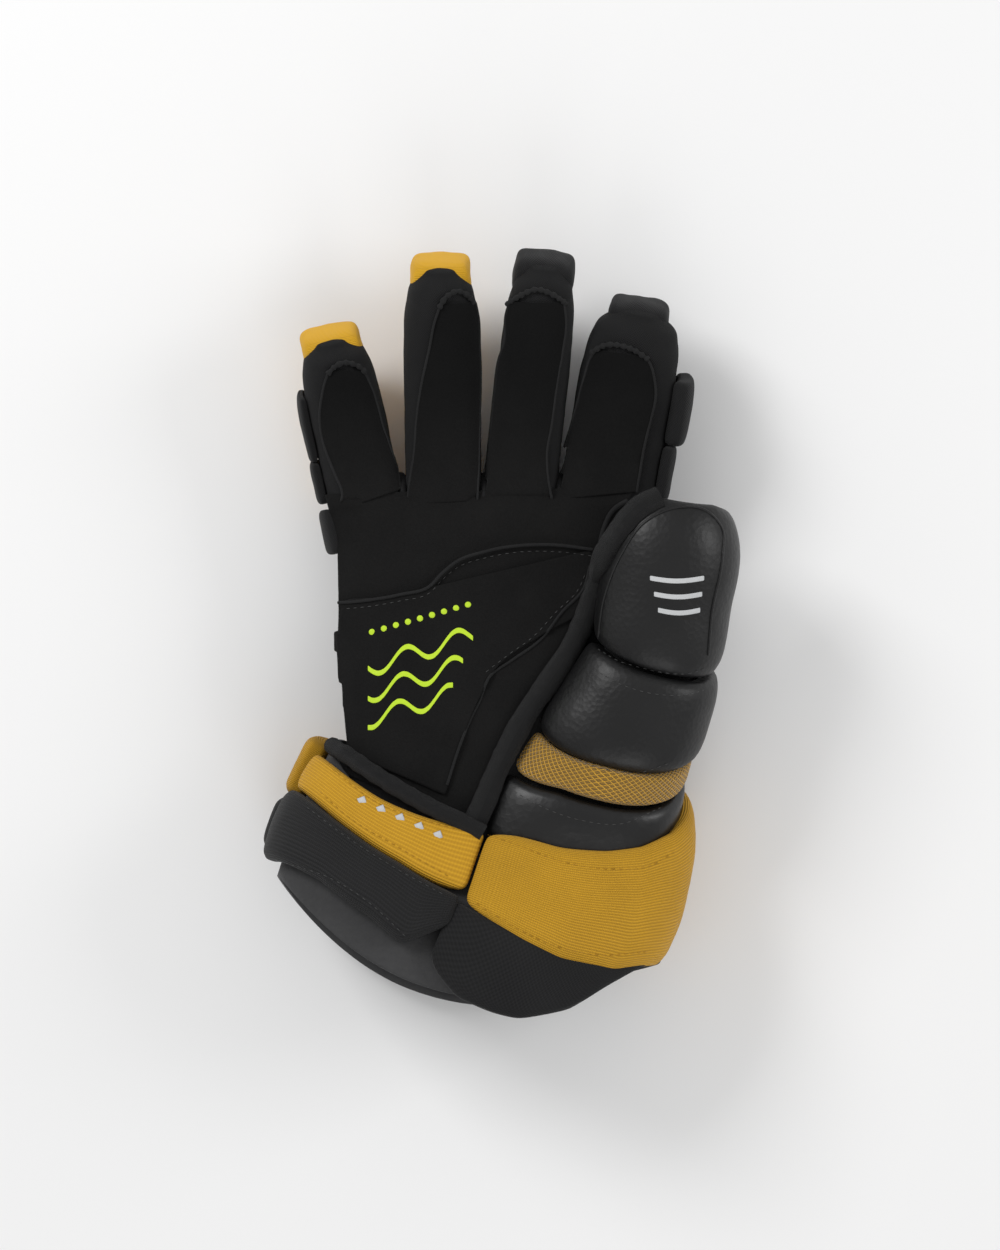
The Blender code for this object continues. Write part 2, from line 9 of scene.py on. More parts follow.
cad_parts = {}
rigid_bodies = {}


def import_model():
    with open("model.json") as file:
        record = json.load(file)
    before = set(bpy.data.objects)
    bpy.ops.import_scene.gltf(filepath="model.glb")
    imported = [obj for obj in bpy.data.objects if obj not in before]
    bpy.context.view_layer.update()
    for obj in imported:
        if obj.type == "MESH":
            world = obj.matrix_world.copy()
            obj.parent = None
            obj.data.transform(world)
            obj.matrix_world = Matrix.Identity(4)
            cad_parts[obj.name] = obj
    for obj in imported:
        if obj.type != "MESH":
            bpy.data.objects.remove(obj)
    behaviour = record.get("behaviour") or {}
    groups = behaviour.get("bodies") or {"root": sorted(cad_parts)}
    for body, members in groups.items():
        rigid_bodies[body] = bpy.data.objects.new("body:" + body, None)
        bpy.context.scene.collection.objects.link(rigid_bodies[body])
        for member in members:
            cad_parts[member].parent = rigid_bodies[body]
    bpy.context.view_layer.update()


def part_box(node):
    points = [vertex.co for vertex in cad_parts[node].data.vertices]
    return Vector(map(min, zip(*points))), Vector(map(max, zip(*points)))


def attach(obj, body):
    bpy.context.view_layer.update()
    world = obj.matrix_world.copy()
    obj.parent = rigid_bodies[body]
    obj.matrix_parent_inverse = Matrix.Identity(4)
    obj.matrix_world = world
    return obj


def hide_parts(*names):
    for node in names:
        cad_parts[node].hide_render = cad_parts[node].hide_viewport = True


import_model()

MM = 0.001

# The camera looks straight down on the palm, from 2.55 m, with the fingertips at the top.
CAMERA_HEIGHT = 2.55
CAMERA_AHEAD = 0.0009
camera = bpy.data.objects.new("camera", bpy.data.cameras.new("camera"))
bpy.context.scene.collection.objects.link(camera)
camera.location = (0, CAMERA_AHEAD, CAMERA_HEIGHT)
camera.data.lens = 156.5
camera.data.sensor_width = 36
camera.data.sensor_fit = "AUTO"
camera.data.clip_end = 20
bpy.context.scene.camera = camera

# A plain pale floor under soft light: a pale sky all round, a large lamp at the upper left, and
# a weaker one at the right that shapes the thumb and the edges of the pads.
bpy.context.scene.view_settings.view_transform = "Standard"
sky = bpy.data.worlds.new("sky")
bpy.context.scene.world = sky
sky.use_nodes = True
sky.node_tree.nodes["Background"].inputs["Color"].default_value = (1, 1, 1, 1)
sky.node_tree.nodes["Background"].inputs["Strength"].default_value = 0.58


def lamp(name, place, size, power):
    """A square soft lamp that faces the glove."""
    light = bpy.data.lights.new(name, "AREA")
    light.size = size
    light.energy = power
    holder = bpy.data.objects.new(name, light)
    bpy.context.scene.collection.objects.link(holder)
    holder.location = place
    holder.rotation_euler = (-Vector(place)).to_track_quat("-Z", "Y").to_euler()


lamp("upper_left", (-1.1, 1.0, 1.2), 0.7, 19)
lamp("right", (1.3, 0.3, 0.8), 0.6, 7)
lamp("front", (0.1, -1.3, 1.0), 0.8, 5)

# The hand: a soft tube of knit fabric from the wrist to the knuckles, which carries the palm on
# one side and the padded rolls on the other. Every part of the glove is laid on such a tube.
# Rows: share along, middle, half width, place along, share of the palm's depth, squareness, share
# of the wrist's turn, and lean.
HAND_LENGTH = 139 * MM
PALM_DEPTH = 42 * MM
KNUCKLE_DEPTH = 33 * MM
KNUCKLE_WIDTH = 150.6 * MM
WRIST_TURN = 22
HAND_ROWS = [
    (0, -0.125, 0.335, -1.12, 1, 2.8, 1, -0.043),
    (0.15, -0.092, 0.362, -0.85, 1, 3, 0.8, -0.03),
    (0.31, -0.062, 0.393, -0.694, 0.95, 3.1, 0.4, -0.01),
    (0.54, -0.037, 0.435, -0.463, 0.7, 3.3, 0, 0),
    (0.8, 0, 0.466, -0.197, 0.3, 3.6, 0, 0),
    (1, 0, 0.5, 0, 0, 3.8, 0, 0),
]
FLOOR_GAP = 0.6 * MM
END_INSET = 0.4 * MM


def power(value, exponent):
    """A power that keeps the sign."""
    return np.sign(value) * np.abs(value) ** exponent


class Tube:
    """A soft tube through rounded sections. Each row: share along it, middle x y z, turn of the
    section in degrees, pitch, half width, half height, squareness, lean and bow."""

    NEAR_ALONG = 0.004
    NEAR_TURN = 2.5

    def __init__(self, rows):
        rows = np.array(rows, float)
        self.keys, self.values = rows[:, 0], rows[:, 1:]
        self.slopes = np.gradient(self.values, self.keys, axis=0)

    def read(self, along):
        """The section at these shares along it, carried straight on past either end."""
        past = along - np.clip(along, self.keys[0], self.keys[-1])
        along = along - past
        last = len(self.keys) - 2
        i = np.clip(np.searchsorted(self.keys, along, "right") - 1, 0, last)
        step = self.keys[i + 1] - self.keys[i]
        t = ((along - self.keys[i]) / step)[:, None]
        step = step[:, None]
        near = self.values[i] * (1 - t) ** 2 * (1 + 2 * t) + self.slopes[i] * step * t * (1 - t) ** 2
        far = self.values[i + 1] * t * t * (3 - 2 * t) - self.slopes[i + 1] * step * t * t * (1 - t)
        return near + far + past[:, None] * np.where(past[:, None] > 0, self.slopes[-1], self.slopes[0])

    def points(self, turn, along, off=0.0):
        """Points at these turns and shares along, and this far off the surface."""
        turn, along, off = np.broadcast_arrays(*np.atleast_1d(turn, along, off))
        found = self.surface(turn, along)
        if not np.any(off):
            return found
        return found + self.outward(turn, along) * off[:, None]

    def surface(self, turn, along):
        """Points on the surface at these turns and shares along."""
        x, y, z, across, pitch, wide, high, square, lean, bow = self.read(along).T
        across, pitch, turn = np.radians(across), np.radians(pitch), np.radians(turn)
        none = np.zeros_like(across)
        side_way = np.stack([np.cos(across), np.sin(across), none], 1)
        level = np.stack([-np.sin(across), np.cos(across), none], 1)
        lift = np.array([[0, 0, 1.0]])
        ahead = level * np.cos(pitch)[:, None] + lift * np.sin(pitch)[:, None]
        up = lift * np.cos(pitch)[:, None] - level * np.sin(pitch)[:, None]
        side = power(np.cos(turn), 2 / square)
        rise = power(np.sin(turn), 2 / square)
        middle = np.stack([x, y, z], 1)
        shift = lean * rise + bow * side ** 2
        across_way = side_way * (wide * side)[:, None] + up * (high * rise)[:, None]
        return middle + across_way + ahead * shift[:, None]

    def outward(self, turn, along):
        """The way straight off the surface, from its slopes around and along the tube."""
        around = self.surface(turn + self.NEAR_TURN, along) - self.surface(turn - self.NEAR_TURN, along)
        forward = self.surface(turn, along + self.NEAR_ALONG) - self.surface(turn, along - self.NEAR_ALONG)
        way = np.cross(forward, around)
        return way / np.maximum(np.linalg.norm(way, axis=1), 1e-12)[:, None]


def hand_rows(shift):
    for along, middle, half, y, mix, square, turn, lean in HAND_ROWS:
        depth = KNUCKLE_DEPTH + (PALM_DEPTH - KNUCKLE_DEPTH) * mix
        yield (along, shift[0] + middle * KNUCKLE_WIDTH, shift[1] + y * HAND_LENGTH, shift[2] + depth / 2,
               -WRIST_TURN * turn, 0, half * KNUCKLE_WIDTH, depth / 2, square, lean * HAND_LENGTH, 0)


hand_low, hand_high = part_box("hand_shell")
loose = Tube(list(hand_rows((0, 0, 0))))
everywhere = loose.points(np.tile(np.arange(0, 360, 5), 20), np.repeat(np.linspace(0, 1, 20), 72))
SHIFT = np.array(hand_high) - everywhere.max(axis=0)
SHIFT[1] = hand_high[1] - END_INSET
SHIFT[2] = hand_low[2]
HAND = Tube(list(hand_rows(SHIFT)))


class Wire:
    """A node's output in a material, with sums and products written as plain maths."""

    def __init__(self, tree, socket):
        self.tree, self.socket = tree, socket

    def maths(self, operation, *values):
        return self.tree.node("ShaderNodeMath", {"operation": operation}, dict(enumerate(values)))

    def __add__(self, other):
        return self.maths("ADD", self, other)

    def __sub__(self, other):
        return self.maths("SUBTRACT", self, other)

    def __rsub__(self, other):
        return self.maths("SUBTRACT", other, self)

    def __mul__(self, other):
        return self.maths("MULTIPLY", self, other)

    def __truediv__(self, other):
        return self.maths("DIVIDE", self, other)

    def call(self, operation, *others):
        return self.maths(operation, self, *others)


class Finish:
    """A material: its shader, and one method that adds any node."""

    def __init__(self, name, roughness, sheen=0.0, coat=0.0, coat_roughness=0.3, specular=0.5):
        self.material = bpy.data.materials.new(name)
        self.material.use_nodes = True
        self.nodes = self.material.node_tree.nodes
        self.links = self.material.node_tree.links
        self.shader = self.nodes["Principled BSDF"]
        put = self.shader.inputs
        put["Roughness"].default_value = roughness
        put["Sheen Weight"].default_value = sheen
        put["Sheen Roughness"].default_value = 0.5
        put["Coat Weight"].default_value = coat
        put["Coat Roughness"].default_value = coat_roughness
        put["Specular IOR Level"].default_value = specular
        self.places = self.node("ShaderNodeTexCoord", {}, {}, "Object")
        self.cloth = Wire(self, self.places.socket.node.outputs["UV"])

    def node(self, kind, settings, values, output=0):
        made = self.nodes.new(kind)
        for name, value in settings.items():
            setattr(made, name, value)
        for name, value in values.items():
            if isinstance(value, Wire):
                self.links.new(value.socket, made.inputs[name])
            else:
                made.inputs[name].default_value = value
        return Wire(self, made.outputs[output])

    def noise(self, scale, detail=3.0, roughness=0.55, distortion=0.0):
        return self.node("ShaderNodeTexNoise", {}, {
            "Vector": self.places, "Scale": scale, "Detail": detail, "Roughness": roughness,
            "Distortion": distortion})

    def cells(self, scale):
        return self.node("ShaderNodeTexVoronoi", {}, {"Vector": self.places, "Scale": scale}, "Distance")

    def blend(self, share, first, second):
        """A colour between two, where share is a wire."""
        made = self.nodes.new("ShaderNodeMix")
        made.data_type = "RGBA"
        for socket, value in ((made.inputs[0], share), (made.inputs[6], first), (made.inputs[7], second)):
            if isinstance(value, Wire):
                self.links.new(value.socket, socket)
            elif isinstance(value, tuple):
                socket.default_value = (*value, 1)
            else:
                socket.default_value = value
        return Wire(self, made.outputs[2])

    def split(self, where):
        made = self.nodes.new("ShaderNodeSeparateXYZ")
        self.links.new(where.socket, made.inputs[0])
        return [Wire(self, made.outputs[i]) for i in range(3)]

    def ready(self, colour, height=None, depth=0.3 * MM, roughness=None):
        """Joins the colour, the relief and the roughness to the shader."""
        if isinstance(colour, Wire):
            self.links.new(colour.socket, self.shader.inputs["Base Color"])
        else:
            self.shader.inputs["Base Color"].default_value = (*colour, 1)
        if height is not None:
            relief = self.node("ShaderNodeBump", {}, {"Strength": 1.0, "Distance": depth, "Height": height},
                               "Normal")
            self.links.new(relief.socket, self.shader.inputs["Normal"])
        if roughness is not None:
            self.links.new(roughness.socket, self.shader.inputs["Roughness"])
        return self.material


def knit(name, dark, light, sheen, pitch=1.1 * MM):
    """Stretch fabric: fine crossing yarns that follow the piece, faded where it rubs."""
    made = Finish(name, 0.85, sheen=sheen, specular=0.15)
    u, v, _ = made.split(made.cloth)
    one = (u * (math.tau / pitch)).call("SINE")
    two = (v * (math.tau / pitch)).call("SINE")
    yarn = one * two * 0.5 + 0.5
    wear = made.noise(38, 4)
    return made.ready(made.blend(yarn * 0.5 + wear * 0.5, dark, light), yarn + wear * 0.4, 0.25 * MM)


FABRIC = knit("hand_fabric", (0.005, 0.005, 0.0053), (0.016, 0.016, 0.0164), sheen=0.02)
GLOVE = bpy.data.collections.new("glove")
bpy.context.scene.collection.children.link(GLOVE)


def add_piece(name, shape, material, nodes=(), levels=1):
    """Makes a piece of a bmesh, smooth, with its finish, and puts it on the glove's one body."""
    mesh = bpy.data.meshes.new(name)
    shape.to_mesh(mesh)
    shape.free()
    mesh.shade_smooth()
    piece = bpy.data.objects.new(name, mesh)
    GLOVE.objects.link(piece)
    mesh.materials.append(material)
    if levels:
        soft = piece.modifiers.new("soft", "SUBSURF")
        soft.levels = soft.render_levels = levels
    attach(piece, "root")
    if nodes:
        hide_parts(*nodes)
    return piece


LUMP = 11 * MM
SMALL_LUMP = 5 * MM


def sleeve(tube, alongs, around, ahead, off=0.0, warp=None, folds=0.0):
    """A sheet of cloth closed around a tube, with its own lengths as UVs. folds raises soft lumps
    in it, and warp changes its points last."""
    shape = bmesh.new()
    bmesh.ops.create_grid(shape, x_segments=around, y_segments=ahead, size=0.5)
    uv = shape.loops.layers.uv.new("cloth")
    share = np.array([(v.co.x + 0.5, v.co.y + 0.5) for v in shape.verts])
    turn = 360 * share[:, 0]
    if callable(alongs):
        along = alongs(share[:, 1])
    else:
        along = alongs[0] + (alongs[1] - alongs[0]) * share[:, 1]
    place = tube.points(turn, along, off)
    wide = math.tau * tube.read(np.array([0.5]))[0][5]
    long = np.linalg.norm(tube.read(np.array([1.0]))[0][:3] - tube.read(np.array([0.0]))[0][:3])
    for face in shape.faces:
        for corner in face.loops:
            s, t = share[corner.vert.index]
            corner[uv].uv = (s * wide, t * long)
    if folds:
        way = tube.outward(turn, along)
        lump = [noise.noise(Vector(p) / LUMP) + 0.6 * noise.noise(Vector(p) / SMALL_LUMP) for p in place]
        place = place + way * (np.array(lump) * folds)[:, None]
    if warp is not None:
        place = warp(place, share)
    for vert, spot in zip(shape.verts, place):
        vert.co = spot
    bmesh.ops.remove_doubles(shape, verts=shape.verts, dist=0.05 * MM)
    bmesh.ops.recalc_face_normals(shape, faces=shape.faces)
    return shape


def thicken(piece, thickness):
    """Gives a sheet a wall on its inner side."""
    wall = piece.modifiers.new("wall", "SOLIDIFY")
    wall.thickness = thickness
    wall.offset = -1
    return piece


HAND_WALL = 1.6 * MM
hand_cloth = sleeve(HAND, (0, 0.995), around=72, ahead=40)
hand = thicken(add_piece("hand_fabric", hand_cloth, FABRIC, ["hand_shell"]), HAND_WALL)

# The fingers: four stalls of the same fabric with domed ends, curled a little towards the palm.
# Name, reach past the knuckles, width, splay, and the curl's rise.
FINGER_GAP = 0.7 * MM
SEAT = 0.35 * MM
FINGERS = [
    ("little", 76 * MM, 35 * MM, -12.0, 17 * MM),
    ("ring", 107 * MM, 35.5 * MM, -0.8, 24 * MM),
    ("middle", 109 * MM, 33 * MM, 6.0, 24 * MM),
    ("index", 89 * MM, 45 * MM, 10.0, 18 * MM),
]
# Rows: share along, share of the splay, width and height shares, squareness.
FINGER_ROWS = [
    (0, 0, 1, 1, 3.8), (0.15, 0.6, 0.99, 1, 3.4), (0.4, 1, 1, 0.98, 3), (0.72, 1, 0.98, 0.95, 2.8),
    (0.88, 1, 0.89, 0.86, 2.6), (0.96, 1, 0.72, 0.68, 2.4), (1, 1, 0.44, 0.42, 2.2),
]
TUBES = {"hand": HAND}
left = SHIFT[0] - KNUCKLE_WIDTH / 2
for name, reach, width, splay, rise in FINGERS:
    base_x = left + width / 2
    left += width + FINGER_GAP
    way = math.radians(splay)
    rows = []
    for along, turn, wide, high, square in FINGER_ROWS:
        out = reach * along
        rows.append((along, base_x + out * math.sin(way), SHIFT[1] + SEAT + out * math.cos(way),
                     SHIFT[2] + KNUCKLE_DEPTH / 2 + rise * along ** 2, -splay * turn,
                     math.degrees(math.atan(2 * rise * along / reach)), width / 2 * wide,
                     KNUCKLE_DEPTH / 2 * high, square, 0, 0))
    TUBES[name] = Tube(rows)


DOME_START = 0.94


def domed(tube, nose):
    """Rounds a stall's far end to a point on its middle line."""
    end = tube.read(np.array([1.0]))[0]
    pitch, across = math.radians(end[4]), math.radians(end[3])
    level = math.cos(pitch)
    ahead = np.array([-math.sin(across) * level, math.cos(across) * level, math.sin(pitch)])

    def warp(place, share):
        t = np.clip((share[:, 1] - DOME_START) / (1 - DOME_START), 0, 1)
        shrink = np.sqrt(np.maximum(1 - t ** 2, 0))
        middle = end[:3]
        moved = middle + (place - middle) * shrink[:, None] + ahead * (nose * t)[:, None]
        return np.where((t > 0)[:, None], moved, place)
    return warp


FINGER_NOSE = 2.5 * MM
FINGER_FOLDS = 0.35 * MM
STALL_WALL = 1.4 * MM
STALLS = {}
for name, *_ in FINGERS:
    cloth = sleeve(TUBES[name], lambda t: np.minimum(t / DOME_START, 1), around=40, ahead=52,
                   warp=domed(TUBES[name], FINGER_NOSE), folds=FINGER_FOLDS)
    stall = add_piece(f"finger_fabric_{name}", cloth, FABRIC, [f"finger_{name}"])
    STALLS[name] = thicken(stall, STALL_WALL)

# The thumb: a stall of the same fabric that starts at the heel of the palm, at its outer side, and
# leans away from it. Rows: share along, drift, width and depth shares, squareness, lean.
THUMB_LENGTH = 160 * MM
THUMB_WIDTH = 54 * MM
THUMB_DEPTH = 42 * MM
THUMB_LEAN = math.radians(15)
THUMB_RISE = math.radians(8)
THUMB_ROWS = [
    (0, -0.03, 1.34, 0.8, 2.6, -0.11), (0.15, -0.005, 1.26, 0.9, 2.6, -0.1),
    (0.36, 0.045, 1, 0.98, 2.5, -0.06), (0.55, 0.08, 0.8, 0.92, 2.4, -0.03),
    (0.74, 0.065, 0.74, 0.86, 2.3, -0.015),
    (0.92, 0.045, 0.62, 0.7, 2.2, 0), (1, 0.035, 0.3, 0.36, 2.1, 0),
]
THUMB_BASE = (37.5 * MM, -17 * MM - HAND_LENGTH, 24 * MM)
rows = []
for along, drift, wide, high, square, lean in THUMB_ROWS:
    out = THUMB_LENGTH * along
    rows.append((along, SHIFT[0] + THUMB_BASE[0] + out * math.sin(THUMB_LEAN) + THUMB_LENGTH * drift,
                 SHIFT[1] + THUMB_BASE[1] + out * math.cos(THUMB_LEAN),
                 SHIFT[2] + THUMB_BASE[2] + out * math.sin(THUMB_RISE),
                 -math.degrees(THUMB_LEAN), math.degrees(THUMB_RISE), THUMB_WIDTH / 2 * wide,
                 THUMB_DEPTH / 2 * high, square, lean * THUMB_LENGTH, 0))
THUMB = Tube(rows)
# The guards lie on a copy of it with a blunter tip.
blunt = [list(row) for row in rows]
for row, wide, high in zip(blunt[-2:], (0.74, 0.6), (0.80, 0.62)):
    row[6], row[7] = THUMB_WIDTH / 2 * wide, THUMB_DEPTH / 2 * high
GUARD = Tube(blunt)
THUMB_START = 0.04
THUMB_NOSE = 1 * MM


def thumb_along(t):
    return np.minimum(THUMB_START + t * (1 - THUMB_START) / DOME_START, 1)


thumb_cloth = sleeve(THUMB, thumb_along, around=40, ahead=44, warp=domed(THUMB, THUMB_NOSE))
thumb = thicken(add_piece("thumb_fabric", thumb_cloth, FABRIC, ["thumb_sleeve"]), STALL_WALL)

# The cuff: a wide short bell around the wrist, open at the rim, that the bands and pads sit on.
CUFF_WIDTH = 160 * MM
CUFF_DEPTH = 68.5 * MM
CUFF_LENGTH = 81 * MM
CUFF_SHIFT = 20 * MM
CUFF_TUCK = 14 * MM
CUFF_DROP = 5 * MM
CUFF_SQUARE = 2.7
# Rows: share along, shift, half width, depth share, share of the wrist's turn, lean, bow.
CUFF_ROWS = [
    (0, 0.001, 0.530, 1, 0.68, 0.05, 0.42), (0.35, 0.002, 0.537, 0.95, 0.58, 0, 0.41),
    (0.65, -0.005, 0.525, 0.86, 0.48, -0.06, 0.38), (1, -0.025, 0.489, 0.76, 0.36, -0.14, 0.34),
]
wrist = HAND.read(np.array([0.0]))[0]
turned = math.radians(-WRIST_TURN)
rows = []
for along, shift, half, depth, turn, lean, bow in CUFF_ROWS:
    side = CUFF_SHIFT + shift * CUFF_WIDTH
    back = CUFF_LENGTH * (1 - along) - CUFF_TUCK
    high = CUFF_DEPTH * depth
    rows.append((along, wrist[0] + math.cos(turned) * side + math.sin(turned) * back,
                 wrist[1] + math.sin(turned) * side - math.cos(turned) * back,
                 SHIFT[2] - CUFF_DROP + high / 2, -WRIST_TURN * turn, 0, half * CUFF_WIDTH, high / 2,
                 CUFF_SQUARE, lean * CUFF_LENGTH, bow * CUFF_LENGTH))
CUFF = Tube(rows)


def speckled(name, colour, dust, size, sheen, tip=None):
    """Brushed or napped cloth with no weave to see: a fine grain and soft darker patches. Where
    two tip colours are given, it turns to them towards the fingertips."""
    made = Finish(name, 0.95, sheen=sheen, specular=0.12)
    grain = made.noise(size, 3, 0.7)
    cloud = made.noise(30, 4, 0.6)
    share = grain * 0.55 + cloud * 0.6 - 0.1
    tone = made.blend(share, colour, dust)
    if tip:
        ahead = made.split(made.places)[1]
        far = ((ahead - TIP_DARK_FROM) / TIP_DARK_OVER).call("MAXIMUM", 0.0).call("MINIMUM", 1.0)
        tone = made.blend(far, tone, made.blend(share, *tip))
    return made.ready(tone, grain + cloud * 0.5, 0.35 * MM)


# The finger panels' suede turns to the darker tip tones from this far ahead, over this length: a plain
# darkening towards the fingertips.
TIP_DARK_FROM = 62 * MM
TIP_DARK_OVER = 50 * MM
PALM_TONES = (0.0025, 0.0025, 0.0027), (0.0125, 0.0122, 0.0118)
TIP_TONES = (0.0015, 0.0015, 0.0016), (0.006, 0.006, 0.006)
LINING = speckled("brushed_lining", (0.032, 0.032, 0.033), (0.060, 0.060, 0.061), size=420, sheen=0.1)
SUEDE = speckled("palm_suede", *PALM_TONES, size=900, sheen=0.02)
PANEL_SUEDE = speckled("finger_suede", *PALM_TONES, size=900, sheen=0.03, tip=TIP_TONES)
LINING_WALL = 1.8 * MM
LINING_OFF = 0.3 * MM
lining_cloth = sleeve(CUFF, (0, 1), around=80, ahead=16, off=LINING_OFF)
thicken(add_piece("cuff_lining", lining_cloth, LINING, ["cuff_liner"]), LINING_WALL)


def leather(name, colour, light, coat, rough, pebble=420):
    """Smooth coated leather: a fine pebble, faint creases, and a soft shine that wears off."""
    made = Finish(name, rough, coat=coat, coat_roughness=0.28, specular=0.3)
    grain = made.cells(pebble)
    crease = made.noise(55, 6, 0.65, distortion=0.6)
    rub = made.noise(24, 3)
    tone = made.blend(rub * 0.8 + crease * 0.2, colour, light)
    return made.ready(tone, grain * 0.35 + crease * 0.8, 0.45 * MM, rub * 0.25 + (rough - 0.1))


def ribbed(name, dark, light, sheen, pitch=1.5 * MM):
    """Ribbed synthetic cloth: fine ribs across the piece, crossed by finer threads."""
    made = Finish(name, 0.62, sheen=sheen, specular=0.2)
    u, v, _ = made.split(made.cloth)
    rib = (v * (math.tau / pitch)).call("SINE") * 0.5 + 0.5
    thread = (u * (math.tau / (pitch * 0.55))).call("SINE") * 0.5 + 0.5
    cloud = made.noise(26, 4)
    height = rib * 0.75 + thread * 0.25
    return made.ready(made.blend(height * 0.6 + cloud * 0.4, dark, light), height + cloud * 0.5, 0.35 * MM)


def netted(name, thread, hole, pitch):
    """Coarse net over cloth: two sets of slanting threads with dark holes between them."""
    made = Finish(name, 0.75, sheen=0.2)
    u, v, _ = made.split(made.cloth)
    one = ((u + v) * (math.pi / pitch)).call("SINE").call("ABSOLUTE")
    two = ((u - v) * (math.pi / pitch)).call("SINE").call("ABSOLUTE")
    lattice = one.call("MINIMUM", two)
    gap = lattice.call("GREATER_THAN", 0.34)
    cloud = made.noise(40, 4)
    yarn = made.blend(cloud, thread, tuple(c * 1.5 for c in thread))
    return made.ready(made.blend(gap * 0.85, yarn, hole), 1 - lattice + cloud * 0.3, 0.8 * MM)


LEATHER_TONES = (0.0025, 0.0025, 0.0027), (0.0065, 0.0065, 0.0068)
THUMB_LEATHER = leather("thumb_leather", *LEATHER_TONES, coat=0.10, rough=0.46)
GLOSS_LEATHER = leather("gloss_leather", *LEATHER_TONES, coat=0.2, rough=0.38, pebble=300)
GOLD_BAND = ribbed("gold_band", (0.36, 0.18, 0.008), (0.62, 0.335, 0.018), sheen=0.04)
GOLD_WRAP = ribbed("gold_wrap", (0.26, 0.132, 0.007), (0.64, 0.345, 0.018), sheen=0.03, pitch=1.3 * MM)
GOLD_CLOTH = ribbed("gold_cloth", (0.54, 0.28, 0.012), (0.84, 0.47, 0.025), sheen=0.04, pitch=1.0 * MM)
GOLD_NET = netted("gold_net", (0.50, 0.265, 0.010), (0.12, 0.062, 0.005), pitch=2.2 * MM)
BLACK_RIB = ribbed("black_rib", (0.004, 0.004, 0.0043), (0.014, 0.014, 0.0145), sheen=0.05)
BLACK_CLOTH = knit("black_cloth", (0.005, 0.005, 0.0053), (0.017, 0.017, 0.0175), sheen=0.06, pitch=1.4 * MM)


def edge_at(edge, turn):
    """A cushion's edge: its share along the tube at these turns, from (turn, share) pairs."""
    if isinstance(edge, float):
        return np.full_like(turn, edge)
    stops = sorted(edge)
    turns, shares = np.array(stops).T
    return np.interp(turn, turns, shares)


FOLD = 16 * MM
SMALL_FOLD = 6 * MM


def cushion(tube, turns, low, high, thick, cells, soft, down=False, crown=0.12, wrinkle=0.5 * MM,
            start=0.0):
    """A padded piece that lies on a tube: a cube is cut finely, rounded to a pillow, and laid
    between two turns and between its low and its high edge. Its UVs are its own lengths."""
    shape = bmesh.new()
    bmesh.ops.create_cube(shape, size=2)
    for axis, cuts in enumerate(cells):
        edges = [e for e in shape.edges if abs((e.verts[0].co - e.verts[1].co).normalized()[axis]) > 0.9]
        bmesh.ops.subdivide_edges(shape, edges=edges, cuts=cuts, use_grid_fill=True)
    cube = np.array([v.co[:] for v in shape.verts])
    inner, outer = soft
    rounded = (np.abs(cube[:, 1]) ** inner + np.abs(cube[:, 2]) ** inner) ** (1 / inner)
    size = (np.abs(cube[:, 0]) ** outer + rounded ** outer) ** (1 / outer)
    pillow = cube / np.maximum(size, 1e-6)[:, None]
    u, v = pillow[:, 0] * 0.5 + 0.5, pillow[:, 1] * 0.5 + 0.5
    w = pillow[:, 2] * 0.5 + 0.5
    turn = turns[0] + (turns[1] - turns[0]) * u
    first, last = edge_at(low, turn), edge_at(high, turn)
    along = first + (last - first) * v
    rounder = 1 - crown * (1 - (1 - (2 * u - 1) ** 4) * (1 - (2 * v - 1) ** 4))
    lift = SEAT + start + thick * w * rounder
    base = tube.points(turn, along)
    if down:
        pitch = np.radians(tube.read(along)[:, 4])
        across = np.radians(tube.read(along)[:, 3])
        way = -np.stack([np.sin(across) * np.sin(pitch), -np.cos(across) * np.sin(pitch), np.cos(pitch)], 1)
    else:
        way = tube.outward(turn, along)
    fold = np.array([noise.noise(Vector(p) / FOLD) + 0.5 * noise.noise(Vector(p) / SMALL_FOLD) for p in base])
    place = base + way * (lift + fold * wrinkle * w)[:, None]
    place[:, 2] = np.maximum(place[:, 2], FLOOR_GAP)
    centre = tube.read(np.array([np.mean(along)]))[0]
    wide = math.radians(abs(turns[1] - turns[0])) * (centre[5] + centre[6]) / 2
    ends = tube.points([np.mean(turns)] * 2, [np.mean(first), np.mean(last)])
    long = np.linalg.norm(ends[1] - ends[0])
    uv = shape.loops.layers.uv.new("cloth")
    # Near an edge the cloth goes on down the side.
    side = np.sign(cube) * np.abs(cube) ** 12 * ((1 - pillow[:, 2:3]) / 2 * thick)
    for face in shape.faces:
        for corner in face.loops:
            i = corner.vert.index
            corner[uv].uv = (u[i] * wide + side[i, 0], v[i] * long + side[i, 1])
    for vert, spot in zip(shape.verts, place):
        vert.co = spot
    if turns[1] < turns[0]:
        bmesh.ops.reverse_faces(shape, faces=shape.faces)
    return shape


def add_cushion(name, shape, material, nodes):
    piece = add_piece(name, shape, material, nodes)
    return piece


# The thumb's guards: stuffed pads of smooth coated leather around its outer side, with a band of
# coarse gold net sewn in below them and a glossy pad at its root. An edge is a list of places on
# the tube: the turn around it in degrees, and the share along it.
THUMB_THICK = 12 * MM
